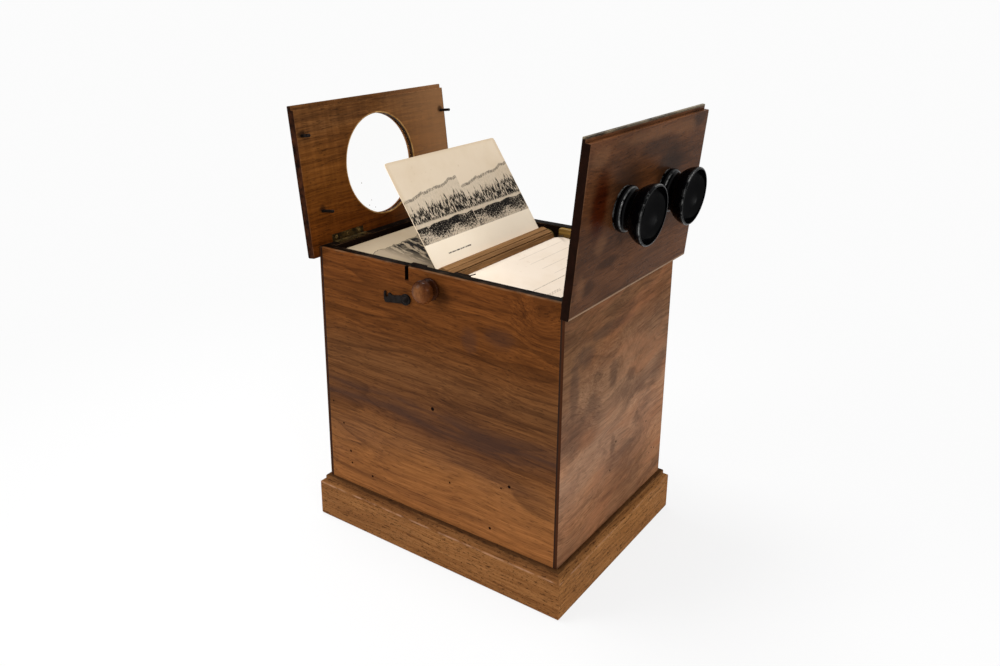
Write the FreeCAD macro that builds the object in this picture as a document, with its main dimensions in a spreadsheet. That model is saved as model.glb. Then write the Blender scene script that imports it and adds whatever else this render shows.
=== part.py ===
import FreeCAD, Part
import math
import os
import Sketcher

# Postcard viewer box: a walnut box with two hinged lids, one with a pair of eyepieces and one
# with a large round window lens, over a wheel of slotted slats that carries the cards.
# Millimetres. +X is the eyepiece end, -Y is the front with the knob, +Z is up.
# The origin is the middle of the underside.

V = FreeCAD.Vector
doc = FreeCAD.newDocument("postcard_viewer_box")

SIZES = [
    ("body_length", 220, "outside length of the box body"),
    ("body_depth", 168, "outside depth of the box body"),
    ("body_top", 237, "height of the top edge above the table"),
    ("wall", 8, "thickness of the four walls"),
    ("end_lip", 3, "part of an end board that shows on the front"),
    ("bottom", 8, "thickness of the bottom board"),
    ("arris", 0.5, "rounding of the boards' outer edges"),
    ("plinth_out", 6.5, "how far the plinth stands out"),
    ("plinth_band", 31, "height of the plain band of the plinth"),
    ("plinth_top", 37, "height where the moulding meets the body"),
    ("lid_thick", 6, "thickness of a lid"),
    ("lid_over", 6.5, "overhang of the closed lids all round"),
    ("lid_seat", 0.15, "play between a closed lid and the wall tops"),
    ("lid_joint", 1, "place along the length where the lids meet"),
    ("lid_gap", 0.25, "half of the play where the lids meet"),
    ("lid_lap", 3.4, "length of the lapped edges"),
    ("lap_thick", 2.4, "thickness of the lower half of the lap"),
    ("left_lean", 7, "lean of the open left lid past upright, degrees"),
    ("right_lean", 5.5, "lean of the open right lid past upright, degrees"),
    ("pin_drop", 1.7, "hinge axis below the inner face of a closed lid"),
    ("tail_gap", 0.05, "play between an open lid's tail and the wall"),
    ("hinge_long", 36, "length of a hinge"),
    ("hinge_at", 50, "distance of a hinge from the middle"),
    ("barrel", 2, "radius of the hinge barrel"),
    ("hinge_pin", 0.9, "radius of the hinge pin"),
    ("leaf_wide", 6.9, "width of a hinge leaf"),
    ("leaf_thick", 1.1, "thickness of a hinge leaf"),
    ("knuckle", 7, "half length of the middle knuckle"),
    ("screw_pitch", 13, "spacing of the hinge screws"),
    ("screw_head", 1.5, "radius of a hinge screw's head"),
    ("screw_shank", 0.7, "radius of a hinge screw's shank"),
    ("screw_long", 4.4, "length of a hinge screw"),
    ("window_at", 53.3, "window centre from the left hinge axis"),
    ("window_bore", 41.2, "radius of the window hole"),
    ("window_seat", 42.4, "radius of the rebate for the window lens"),
    ("eye_at", 56.9, "eyepiece centres from the right hinge axis"),
    ("eye_apart", 66, "distance between the eyepieces"),
    ("eye_base", 15.5, "radius of an eyepiece's base ring"),
    ("eye_rim", 21, "radius of an eyepiece's rim"),
    ("eye_high", 22, "height of an eyepiece above the lid"),
    ("eye_lens", 11.6, "radius of an eyepiece lens"),
    ("eye_spigot", 13.4, "radius of the spigot glued into the lid"),
    ("wheel_high", 224.5, "height of the wheel's axis"),
    ("wheel_turn", 33.3, "lean of the standing card to the left, degrees"),
    ("slat_count", 7, "slats around the wheel"),
    ("slat_long", 138, "length of a slat"),
    ("slat_top", 10.8, "distance of a slat's face from the axis"),
    ("slat_foot", 6.2, "distance of a slat's foot from the axis"),
    ("slat_wide", 9.3, "width of a slat's face"),
    ("axle", 2.5, "radius of the axle"),
    ("card_long", 140, "long side of a postcard"),
    ("card_high", 90, "short side of a postcard"),
    ("card_thick", 0.5, "thickness of a postcard"),
    ("card_foot", 7.2, "distance of a card's edge from the axis"),
    ("disc", 9.2, "radius of a wheel end disc"),
    ("bush", 4, "outer radius of an axle bush"),
    ("knob_head", 8.7, "radius of the knob's head"),
    ("knob_long", 14.8, "length of the knob"),
    ("slot_at", 22.1, "distance of the catch slot left of the middle"),
    ("slot_wide", 3.1, "width of the catch slot"),
    ("slot_deep", 10.5, "depth of the catch slot below the top edge"),
    ("hook_high", 211.6, "height of the hook's pivot"),
    ("hook_reach", 19.7, "distance from the hook's pivot to its claw"),
    ("hook_sag", 10, "angle of the resting hook below level, degrees"),
    ("hook_thick", 1.4, "thickness of the hook"),
    ("hook_gap", 0.25, "play between the hook and the front board"),
]

sheet = doc.addObject("Spreadsheet::Sheet", "Sizes")
for row, (alias, number, meaning) in enumerate(SIZES, start=1):
    sheet.set(f"A{row}", alias)
    sheet.set(f"B{row}", str(number))
    sheet.set(f"C{row}", meaning)
    sheet.setAlias(f"B{row}", alias)
doc.recompute()


class Size:
    """A number together with the formula that gives it from the sheet."""

    def __init__(self, value, text):
        self.value = float(value)
        self.text = text

    def __add__(self, other):
        other = size(other)
        return Size(self.value + other.value, f"({self.text} + {other.text})")

    def __sub__(self, other):
        other = size(other)
        return Size(self.value - other.value, f"({self.text} - {other.text})")

    def __mul__(self, other):
        other = size(other)
        return Size(self.value * other.value, f"({self.text} * {other.text})")

    def __truediv__(self, other):
        other = size(other)
        return Size(self.value / other.value, f"({self.text} / {other.text})")

    def __neg__(self):
        return Size(-self.value, f"(0 - {self.text})")

    __radd__ = __add__

    def __rsub__(self, other):
        return size(other) - self

    def __rmul__(self, other):
        return size(other) * self


def size(number):
    """A plain number, or a Size as it is."""
    return number if isinstance(number, Size) else Size(number, f"{number:.6f}")


def sine(angle):
    return Size(math.sin(math.radians(angle.value)), f"sin({angle.text} * 1 deg)")


def cosine(angle):
    return Size(math.cos(math.radians(angle.value)), f"cos({angle.text} * 1 deg)")


S = {alias: Size(number, f"Sizes.{alias}") for alias, number, meaning in SIZES}
nodes = []
past = 1.0     # how far a cutting tool runs past the face it cuts


# General helpers

def bind(thing, prop, length):
    """Set one property of an object and tie it to its formula."""
    thing.setExpression(prop, size(length).text)


def place(thing, x=0, y=0, z=0, axis=None, angle=None):
    """Put an object at a point, turned by an angle about an axis, all tied to formulas."""
    rotation = FreeCAD.Rotation(V(*axis), 1.0) if axis else FreeCAD.Rotation()
    thing.Placement = FreeCAD.Placement(V(0, 0, 0), rotation)
    for name, length in (("x", x), ("y", y), ("z", z)):
        bind(thing, f".Placement.Base.{name}", length)
    if angle is not None:
        bind(thing, ".Placement.Rotation.Angle", angle)
    return thing


def keep(thing, label):
    """Name an object as one of the pieces that are written out."""
    thing.Label = label
    nodes.append(thing)
    return thing


def box(name, xs, ys, zs):
    """A block between two places along each axis, given in either order."""
    (x0, x1), (y0, y1), (z0, z1) = (sorted(map(size, pair), key=lambda s: s.value)
                                    for pair in (xs, ys, zs))
    block = doc.addObject("Part::Box", name)
    bind(block, "Length", x1 - x0)
    bind(block, "Width", y1 - y0)
    bind(block, "Height", z1 - z0)
    return place(block, x0, y0, z0)


def rod(name, radius, at, long, along):
    """A cylinder that starts at a point and runs along an axis."""
    cylinder = doc.addObject("Part::Cylinder", name)
    bind(cylinder, "Radius", radius)
    bind(cylinder, "Height", long)
    turns = {"+x": ((0, 1, 0), 90), "-x": ((0, 1, 0), -90), "+y": ((1, 0, 0), -90),
             "-y": ((1, 0, 0), 90), "+z": (None, None), "-z": ((1, 0, 0), 180)}
    axis, angle = turns[along]
    return place(cylinder, *at, axis=axis, angle=angle)


def cut(name, base, tools):
    """One solid less others."""
    result = doc.addObject("Part::Cut", name)
    result.Base = base
    result.Tool = tools[0] if len(tools) == 1 else fuse(name + "_tools", tools)
    return result


def fuse(name, pieces):
    result = doc.addObject("Part::MultiFuse", name)
    result.Shapes = pieces
    return result


def group(name, pieces):
    """Several separate solids, or one, in one object that can be placed as a whole."""
    result = doc.addObject("Part::Compound", name)
    result.Links = pieces
    return result


def body_on(name, plane, corners):
    """A body with one sketch of an outline on an origin plane.

    A corner is (u, v), or (u, v, radius, side) where the edge that ends there is an arc of that
    radius that bulges to the left or right of the way from the corner before it.
    """
    body = doc.addObject("PartDesign::Body", name)
    sketch = body.newObject("Sketcher::SketchObject", name + "_sketch")
    origin_plane = [part for part in body.Origin.OriginFeatures if part.Role == plane]
    sketch.AttachmentSupport = [(origin_plane[0], "")]
    sketch.MapMode = "FlatFace"
    draw(sketch, corners)
    return body, sketch


def draw(sketch, corners):
    """Draw an outline and tie every corner and every arc to its formula."""
    first = sketch.GeometryCount
    count = len(corners)
    points = [V(size(corner[0]).value, size(corner[1]).value, 0) for corner in corners]
    ends = []
    for index in range(count):
        start, end = points[index], points[(index + 1) % count]
        bend = corners[(index + 1) % count][2:]
        if not bend:
            sketch.addGeometry(Part.LineSegment(start, end))
            ends.append((1, 2))
            continue
        radius, side = size(bend[0]).value, bend[1]
        chord = end - start
        outward = V(chord.y, -chord.x, 0).normalize() * (1 if side == "right" else -1)
        rise = radius - math.sqrt(radius ** 2 - chord.Length ** 2 / 4)
        crown = (start + end) / 2 + outward * rise
        if side == "right":
            sketch.addGeometry(Part.Arc(start, crown, end))
            ends.append((1, 2))
        else:
            sketch.addGeometry(Part.Arc(end, crown, start))
            ends.append((2, 1))
    for index in range(count):
        following = (index + 1) % count
        sketch.addConstraint(Sketcher.Constraint("Coincident", first + index, ends[index][1],
                                                 first + following, ends[following][0]))
    for index, corner in enumerate(corners):
        start = ends[index][0]
        for kind, length in (("DistanceX", size(corner[0])), ("DistanceY", size(corner[1]))):
            tie(sketch, Sketcher.Constraint(kind, first + index, start, length.value), length)
        if corner[2:]:
            radius = size(corner[2])
            edge = first + (index - 1) % count
            tie(sketch, Sketcher.Constraint("Radius", edge, radius.value), radius)


def tie(sketch, constraint, length):
    """Add one measured constraint, with its formula if it has one."""
    number = sketch.addConstraint(constraint)
    if "Sizes" in length.text:
        sketch.setExpression(f"Constraints[{number}]", length.text)


def padded(name, plane, corners, long, centred=False):
    """An outline drawn out square to its plane."""
    body, sketch = body_on(name, plane, corners)
    pad = body.newObject("PartDesign::Pad", name + "_pad")
    pad.Profile = sketch
    bind(pad, "Length", long)
    pad.Midplane = centred
    body.Tip = pad
    return body


def soften(body, radius, chosen):
    """Round the edges of a body whose middles pass a test, given in the body's own frame."""
    doc.recompute()
    tip = body.Tip
    picked = [f"Edge{number}" for number, edge in enumerate(tip.Shape.Edges, start=1)
              if chosen(edge.valueAt((edge.FirstParameter + edge.LastParameter) / 2))]
    fillet = body.newObject("PartDesign::Fillet", body.Name + "_fillet")
    fillet.Base = (tip, picked)
    bind(fillet, "Radius", radius)
    body.Tip = fillet
    return body


def near(length, target):
    """Whether a coordinate lies on a plane at this distance from the middle, on either side."""
    return abs(abs(length) - abs(size(target).value)) < 0.01


def turned(name, corners):
    """A turned piece: a half profile of (radius, height) spun about the Z axis."""
    body, sketch = body_on(name, "XZ_Plane", corners)
    spin = body.newObject("PartDesign::Revolution", name + "_spin")
    spin.Profile = sketch
    spin.ReferenceAxis = (sketch, ["V_Axis"])
    spin.Angle = 360
    body.Tip = spin
    return body


def bow(rise, reach):
    """The radius of an arc that rises by one length over another, starting level."""
    return (rise * rise + reach * reach) / (2 * rise)


# The frame of each lid: origin on its hinge axis, drawn closed, then turned open

half_length = S["body_length"] / 2
half_depth = S["body_depth"] / 2
pin_high = S["body_top"] + S["lid_seat"] - S["pin_drop"]


def pin_out(lean):
    """How far the hinge axis lies outside the end wall, so that the tail stops the lid there."""
    slack = S["tail_gap"] + S["lid_over"] * sine(lean) - S["pin_drop"] * cosine(lean)
    return slack / (1 + sine(lean))


LIDS = {
    "left": {"sign": -1, "lean": S["left_lean"], "pin": -(half_length + pin_out(S["left_lean"]))},
    "right": {"sign": 1, "lean": S["right_lean"], "pin": half_length + pin_out(S["right_lean"])},
}


def open_lid(thing, side):
    """Move a piece from its lid's own closed frame to its open place on the box."""
    lid = LIDS[side]
    return place(thing, x=lid["pin"], z=pin_high, axis=(0, lid["sign"], 0), angle=90 + lid["lean"])


# Hinges: a leaf let into the wall top, a leaf let into the lid, a pin, and three screws each

def hinge_screw(name, x, y, z, upward):
    """A countersunk screw with its head's face at the point given."""
    head_high = S["screw_head"] - S["screw_shank"]
    profile = [(0, 0), (S["screw_head"], 0), (S["screw_shank"], head_high),
               (S["screw_shank"], S["screw_long"]), (0, S["screw_long"])]
    screw = turned(name, profile)
    if upward:
        return place(screw, x, y, z)
    return place(screw, x, y, z, axis=(1, 0, 0), angle=180)


def hinge(side, place_name, y):
    """The pieces of one hinge, about the hinge axis, with the lid closed."""
    inward = -LIDS[side]["sign"]
    name = f"{side}_{place_name}"
    half = S["hinge_long"] / 2
    play, notch_play, room_play = 0.1, 0.2, 0.15
    web_half, screw_inset = 0.8, 2.6
    web = inward * web_half
    wall_top = S["pin_drop"] - S["lid_seat"]
    leaf_edge = inward * S["leaf_wide"]
    middle = (y - S["knuckle"], S["knuckle"] * 2)
    outer_long = half - S["knuckle"]
    outers = ((y - half, outer_long), (y + S["knuckle"], outer_long))

    def barrel(label, radius, span, grow=0):
        start, long = span
        return rod(label, radius, (0, start - grow, 0), long + grow * 2, "+y")

    fixed_plate = box(name + "_fixed_plate", (0, leaf_edge), (y - half, y + half),
                      (wall_top - S["leaf_thick"], wall_top))
    fixed_solid = fuse(name + "_fixed_solid", [fixed_plate] + [
        barrel(f"{name}_outer_knuckle_{n}", S["barrel"], span) for n, span in enumerate(outers)])
    fixed = cut(name + "_fixed_leaf", fixed_solid, [
        barrel(name + "_knuckle_notch", S["barrel"] + notch_play, middle),
        barrel(name + "_pin_bore", S["hinge_pin"], (y - half, half * 2))])

    moving_plate = box(name + "_moving_plate", (-web, leaf_edge), (y - half, y + half),
                       (S["pin_drop"], S["pin_drop"] + S["leaf_thick"]))
    root = box(name + "_moving_root", (-web, web),
               (y - S["knuckle"] + play, y + S["knuckle"] - play),
               (S["hinge_pin"], S["pin_drop"] + S["leaf_thick"]))
    moving_solid = fuse(name + "_moving_solid", [
        moving_plate, root, barrel(name + "_middle_knuckle", S["barrel"], middle, -play)])
    moving = cut(name + "_moving_leaf", moving_solid, [
        barrel(f"{name}_outer_notch_{n}", S["barrel"] + play, span, play)
        for n, span in enumerate(outers)] + [
        barrel(name + "_pin_play", S["hinge_pin"] + play / 2, (y - half, half * 2), play)])

    screw_x = inward * (S["leaf_wide"] - screw_inset)
    rows = (y - S["screw_pitch"], y, y + S["screw_pitch"])
    fixed_screws = [hinge_screw(f"{name}_fixed_screw_{n}", screw_x, row, wall_top, False)
                    for n, row in enumerate(rows)]
    moving_screws = [hinge_screw(f"{name}_moving_screw_{n}", screw_x, row, S["pin_drop"], True)
                     for n, row in enumerate(rows)]
    pin = barrel(name + "_pin", S["hinge_pin"], (y - half, half * 2))
    room = barrel(name + "_barrel_room", S["barrel"] + room_play, (y - half, half * 2), play)
    fixed = cut(name + "_fixed_drilled", fixed, [group(name + "_fixed_drill", fixed_screws)])
    moving = cut(name + "_moving_drilled", moving, [group(name + "_moving_drill", moving_screws)])
    return {"fixed": fixed, "moving": moving, "pin": pin, "fixed_screws": fixed_screws,
            "moving_screws": moving_screws, "room": room}


hinges = {side: [hinge(side, "front", -S["hinge_at"]), hinge(side, "rear", size(S["hinge_at"]))]
          for side in LIDS}


def hinge_parts(side, kind):
    """All pieces of one kind from a lid's two hinges."""
    parts = []
    for pair in hinges[side]:
        parts += pair[kind] if isinstance(pair[kind], list) else [pair[kind]]
    return parts


# Box body: front and back boards in rabbets of the two end boards, on a bottom board

inner_x = half_length - S["wall"]
inner_y = half_depth - S["wall"]
lip_x = half_length - S["end_lip"]
slot_x = -S["slot_at"]
hook_aside = 0.8
hook_x = slot_x - hook_aside
hook_screw_thick = 1.2
hook_screw_deep = 6.0


def bush_long(sign):
    """The bush goes right through the front board, and stops short in the back board."""
    left_whole = 1.0
    return S["wall"] if sign < 0 else S["wall"] - left_whole


def end_board(side):
    """An end board with a lip over each neighbour, cut for the hinges on its top."""
    sign = LIDS[side]["sign"]
    corners = [(sign * inner_x, -inner_y), (sign * lip_x, -inner_y), (sign * lip_x, -half_depth),
               (sign * half_length, -half_depth), (sign * half_length, half_depth),
               (sign * lip_x, half_depth), (sign * lip_x, inner_y), (sign * inner_x, inner_y)]
    high = S["body_top"] - S["bottom"]
    board = padded(f"{side}_end_blank", "XY_Plane", corners, high)
    soften(board, S["arris"], lambda at: near(at.x, half_length) and (
        near(at.y, half_depth) or near(at.z, high)) or near(at.y, half_depth) and near(at.z, high))
    place(board, z=S["bottom"])
    tools = fuse(f"{side}_wall_mortises", hinge_parts(side, "fixed")
                 + hinge_parts(side, "fixed_screws") + hinge_parts(side, "room"))
    place(tools, x=LIDS[side]["pin"], z=pin_high)
    keep(cut(f"{side}_end", board, [tools]), f"{side}_end_board")


def long_board(label, sign):
    """The front or back board, slotted for a lid pin and bored for the axle bush."""
    face, inside = sign * half_depth, sign * inner_y
    high = S["body_top"] - S["bottom"]
    blank = padded(label + "_blank", "XY_Plane", [
        (-lip_x, face), (lip_x, face), (lip_x, inside), (-lip_x, inside)], high)
    soften(blank, S["arris"], lambda at: near(at.y, face) and near(at.z, high))
    place(blank, z=S["bottom"])
    slot = box(label + "_slot", (slot_x - S["slot_wide"] / 2, slot_x + S["slot_wide"] / 2),
               (face + sign * past, face - sign * S["wall"] / 2),
               (S["body_top"] - S["slot_deep"], S["body_top"] + past))
    bush_bore = rod(label + "_bush_bore", S["bush"], (0, inside - sign * past, S["wheel_high"]),
                    bush_long(sign) + past, "-y" if sign < 0 else "+y")
    tools = [slot, bush_bore]
    if sign < 0:
        tools.append(rod("hook_pilot", hook_screw_thick, (hook_x, face - past, S["hook_high"]),
                         hook_screw_deep + past, "+y"))
    keep(cut(label + "_cut", blank, tools), label)


end_board("left")
end_board("right")
long_board("front_board", -1)
long_board("back_board", 1)
keep(box("bottom_plate", (-half_length, half_length), (-half_depth, half_depth),
         (0, S["bottom"])), "bottom_board")


# Plinth: four mitred pieces of one moulding round the foot of the body

def plinth_side(label, run, turn, x, y):
    """One moulding, drawn along X with its outer face to -Y, then turned to its side."""
    out = S["plinth_out"]
    foot = 2.0
    slope_in, slope_up = 3.3, 2.3
    bead = 1.6
    shelf = out - slope_in
    corners = [(0, 0), (-(out - foot), 0), (-out, foot, foot, "left"), (-out, S["plinth_band"]),
               (-shelf, S["plinth_band"] + slope_up), (-shelf, S["plinth_top"] - bead),
               (-(shelf - bead), S["plinth_top"], bead, "left"), (0, S["plinth_top"])]
    body, sketch = body_on(label, "YZ_Plane", corners)
    pad = body.newObject("PartDesign::Pad", label + "_pad")
    pad.Profile = sketch
    bind(pad, "Length", run + out * 2)
    pad.Midplane = True
    mitre = body.newObject("Sketcher::SketchObject", label + "_mitre")
    plane = [part for part in body.Origin.OriginFeatures if part.Role == "XY_Plane"]
    mitre.AttachmentSupport = [(plane[0], "")]
    mitre.MapMode = "FlatFace"
    reach = run / 2 + out + past
    for sign in (-1, 1):
        draw(mitre, [(sign * run / 2, 0), (sign * reach, -(out + past)), (sign * reach, past),
                     (sign * run / 2, past)])
    doc.recompute()
    whole = body.Shape.Volume
    pocket = body.newObject("PartDesign::Pocket", label + "_pocket")
    pocket.Profile = mitre
    pocket.Type = 0
    pocket.Midplane = True
    bind(pocket, "Length", S["plinth_top"] * 3)
    body.Tip = pocket
    doc.recompute()
    assert body.Shape.Volume < whole, label
    keep(place(body, x, y, 0, axis=(0, 0, 1), angle=turn), label)


plinth_side("plinth_front", S["body_length"], 0, 0, -half_depth)
plinth_side("plinth_right", S["body_depth"], 90, half_length, 0)
plinth_side("plinth_back", S["body_length"], 180, 0, half_depth)
plinth_side("plinth_left", S["body_depth"], 270, -half_length, 0)


# Lid boards, drawn closed about the hinge axis; the lids lap where they meet

lid_half = half_depth + S["lid_over"]
inner = S["pin_drop"]
outer = S["pin_drop"] + S["lid_thick"]
edge_round = 1.2
end_round = 0.6
lap_play = 0.2


def lid_blank(side):
    """The plain board: a tail past the hinge, and a lapped free edge."""
    lid = LIDS[side]
    sign = lid["sign"]
    tail = sign * (half_length + S["lid_over"]) - lid["pin"]
    free = S["lid_joint"] + sign * S["lid_gap"] - lid["pin"]
    lap_high = inner + S["lap_thick"] - (0 if sign < 0 else lap_play)
    under = free - S["lid_lap"]
    wide = S["body_depth"] + S["lid_over"] * 2
    turn = "right" if sign > 0 else "left"
    corners = [(tail, inner), (tail, outer - edge_round),
               (tail - sign * edge_round, outer, edge_round, turn),
               (free + sign * end_round, outer), (free, outer - end_round, end_round, turn),
               (free, lap_high), (under, lap_high), (under, inner)]
    blank = padded(f"{side}_lid_blank", "XZ_Plane", corners, wide, centred=True)
    upper = lap_high.value
    return soften(blank, S["arris"], lambda at: near(at.y, lid_half) and at.z > upper)


def lid_board(side, holes):
    """A lid board cut for its hinges and for what it carries."""
    tools = hinge_parts(side, "moving") + hinge_parts(side, "moving_screws")
    tools += hinge_parts(side, "room") + holes
    return open_lid(keep(cut(f"{side}_lid", lid_blank(side), tools), f"{side}_lid_board"), side)


def on_lid(side, label, pieces):
    """Pieces drawn in a lid's own frame, kept as one node and turned open with it."""
    return open_lid(keep(group(label + "_set", pieces), label), side)


# Left lid: window lens held by a deep ring, locating pins and the catch pin

ring_deep = 2.6
ring_lip = 0.4
lens_edge = 1.7
lens_dome = 1.4
dome_inset = 0.3
dome_edge = S["window_bore"] - dome_inset
window_tools = [
    rod("window_hole", S["window_bore"], (S["window_at"], 0, 0), outer + past, "+z"),
    rod("window_rebate", S["window_seat"], (S["window_at"], 0, 0),
        inner + ring_deep + lens_edge, "+z")]
lens = turned("window_lens_blank", [
    (0, 0), (S["window_seat"], 0), (S["window_seat"], lens_edge), (dome_edge, lens_edge),
    (0, lens_edge + lens_dome, bow(lens_dome, dome_edge), "right")])
place(lens, x=S["window_at"], z=inner + ring_deep)
ring = turned("window_ring_blank", [
    (S["window_bore"], ring_lip), (S["window_bore"] + ring_lip, 0), (S["window_seat"], 0),
    (S["window_seat"], ring_deep), (S["window_bore"], ring_deep)])
place(ring, x=S["window_at"], z=inner)

pin_root = 4.0
outer_pin_long = 10.5
inner_pin_long = 12.0
catch_pin_long = 8.8
pin_thick = 1.2
inner_pin_x = -81.9


def lid_pin(name, x, y, long):
    """A round iron pin in the inner face of the left lid, tip rounded, at a closed-lid place."""
    tip = 0.5
    profile = [(0, 0), (pin_thick - tip, 0), (pin_thick, tip, tip, "right"),
               (pin_thick, long + pin_root), (0, long + pin_root)]
    pin = turned(name, profile)
    return place(pin, x=x - LIDS["left"]["pin"], y=y, z=inner - long)


catch_y = half_depth + S["hook_gap"] + S["hook_thick"] / 2
inner_pin_inset = 1.6
inner_pin_y = inner_y - inner_pin_inset
guide_pins = [
    lid_pin("rear_outer_pin", slot_x, catch_y, outer_pin_long),
    lid_pin("front_inner_pin", inner_pin_x, -inner_pin_y, inner_pin_long),
    lid_pin("rear_inner_pin", inner_pin_x, inner_pin_y, inner_pin_long)]
eye_boss, eye_hole = 2.0, 1.2
catch_x = slot_x - LIDS["left"]["pin"]
catch_z = inner - (S["body_top"] + S["lid_seat"] - S["hook_high"] - S["hook_reach"])
catch_rod = lid_pin("catch_rod", slot_x, -catch_y, catch_pin_long)
catch_boss = rod("catch_boss", eye_boss, (catch_x - pin_thick, -catch_y, catch_z),
                 pin_thick * 2, "+x")
catch_hole = rod("catch_hole", eye_hole, (catch_x - eye_boss, -catch_y, catch_z),
                 eye_boss * 2, "+x")
catch = cut("catch_eye", fuse("catch_solid", [catch_rod, catch_boss]), [catch_hole])

lid_board("left", window_tools + guide_pins + [catch_rod])
on_lid("left", "window_lens", [lens])
on_lid("left", "window_ring", [ring])
on_lid("left", "lid_guide_pins", guide_pins)
on_lid("left", "lid_catch_pin", [catch])


# Right lid: two turned eyepieces, each with a lens on a ledge under a retaining ring

def eyepiece_profile():
    """The half profile of a cup: spigot, swollen base, short neck, bowl and rolled rim."""
    base, rim, high = S["eye_base"], S["eye_rim"], S["eye_high"]
    swell_from, swell_to, swell = 0.8, 5.8, 3.6
    neck, neck_foot, neck_top, neck_curve = 14.0, 6.0, 9.4, 3.4
    shoulder = neck + 0.3
    bowl_curve, dish_curve = 15.0, 14.0
    throat_at = 10.5
    roll, lip = 1.3, 0.2
    return [
        (lens_bore, -S["lid_thick"]), (S["eye_spigot"], -S["lid_thick"]), (S["eye_spigot"], 0),
        (base, 0), (base, swell_from), (shoulder, swell_to, swell, "right"),
        (neck, neck_foot), (neck, neck_top, neck_curve, "left"),
        (rim, high - roll, bowl_curve, "right"), (rim - roll, high, roll, "right"),
        (rim - roll - lip, high), (throat, throat_at, dish_curve, "left"),
        (throat, -lens_ledge), (lens_bore, -lens_ledge)]


lens_play = 0.1
lens_bore = S["eye_lens"] + lens_play
throat = 10.2
lens_ledge = 1.6
glass_edge, glass_dome = 2.0, 1.3
glass_play = 0.35
retainer_in, retainer_thick = 10.4, 1.0
glass_curve = bow(glass_dome, S["eye_lens"])
eye_holes = []
lens_rings = []
for place_name, sign in (("front", -1), ("rear", 1)):
    at = {"x": -S["eye_at"], "y": sign * S["eye_apart"] / 2}
    cup = place(turned(f"eyepiece_{place_name}_blank", eyepiece_profile()), z=outer, **at)
    eye_holes.append(rod(f"eye_hole_{place_name}", S["eye_spigot"], (at["x"], at["y"], 0),
                         outer + past, "+z"))
    glass = turned(f"eyepiece_lens_{place_name}_blank", [
        (0, -glass_dome), (S["eye_lens"], 0, glass_curve, "right"), (S["eye_lens"], glass_edge),
        (0, glass_edge + glass_dome, glass_curve, "right")])
    glass_low = outer - lens_ledge - glass_play - glass_edge
    place(glass, z=glass_low, **at)
    retainer = turned(f"lens_retainer_{place_name}", [
        (retainer_in, 0), (S["eye_lens"], 0), (S["eye_lens"], retainer_thick),
        (retainer_in, retainer_thick)])
    lens_rings.append(place(retainer, z=glass_low - glass_play - retainer_thick, **at))
    on_lid("right", f"eyepiece_{place_name}", [cup])
    on_lid("right", f"eyepiece_lens_{place_name}", [glass])
lid_board("right", eye_holes)
on_lid("right", "eyepiece_lens_rings", lens_rings)

for side in LIDS:
    for kind, label in (("fixed", "hinge_wall_leaves"), ("fixed_screws", "hinge_wall_screws"),
                        ("pin", "hinge_pins")):
        placed = group(f"{side}_{label}_set", hinge_parts(side, kind))
        place(keep(placed, f"{side}_{label}"), x=LIDS[side]["pin"], z=pin_high)
    on_lid(side, f"{side}_hinge_lid_leaves", hinge_parts(side, "moving"))
    on_lid(side, f"{side}_hinge_lid_screws", hinge_parts(side, "moving_screws"))


# Card wheel: axle, seven-sided core, slotted slats, cards with wire clips, end discs and knob

step = size(360) / S["slat_count"]
half_slat = S["slat_long"] / 2
wheel = {"x": 0, "y": 0, "z": S["wheel_high"]}


def on_wheel(thing, number):
    """Turn an upright piece to its place on the wheel, counted from the standing card."""
    return place(thing, **wheel, axis=(0, 1, 0), angle=step * number - S["wheel_turn"])


core_angle = math.pi / S["slat_count"].value
core_corner = S["slat_foot"] / math.cos(core_angle)
core_corners = [(core_corner * math.sin(core_angle * (2 * n + 1)),
                 core_corner * math.cos(core_angle * (2 * n + 1)))
                for n in range(int(S["slat_count"].value))]
core_blank = padded("core_blank", "XZ_Plane", core_corners, S["slat_long"], centred=True)
core_bore = rod("core_bore", S["axle"], (0, -half_slat - past, 0), S["slat_long"] + past * 2, "+y")
on_wheel(keep(cut("core_bored", core_blank, [core_bore]), "wheel_core"), 0)


def slat(number):
    """A keystone slat with a saw kerf for one card along the middle of its face."""
    foot_play, kerf_play = 0.15, 0.05
    half_face = S["slat_wide"] / 2
    half_foot = S["slat_foot"] * math.tan(core_angle) - foot_play
    kerf = S["card_thick"] / 2 + kerf_play
    soft = 0.5
    corners = [(-half_foot, S["slat_foot"]), (half_foot, S["slat_foot"]),
               (half_face, S["slat_top"] - soft), (half_face - soft, S["slat_top"], soft, "right"),
               (kerf, S["slat_top"]), (kerf, S["card_foot"]), (-kerf, S["card_foot"]),
               (-kerf, S["slat_top"]), (soft - half_face, S["slat_top"]),
               (-half_face, S["slat_top"] - soft, soft, "right")]
    piece = padded(f"slat_{number + 1}", "XZ_Plane", corners, S["slat_long"], centred=True)
    on_wheel(keep(piece, f"card_slat_{number + 1}"), number)


def straight_card():
    """The outline of a flat card on edge in its kerf."""
    half = S["card_thick"] / 2
    top = S["card_foot"] + S["card_high"]
    return [(-half, S["card_foot"]), (half, S["card_foot"]), (half, top), (-half, top)]


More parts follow.
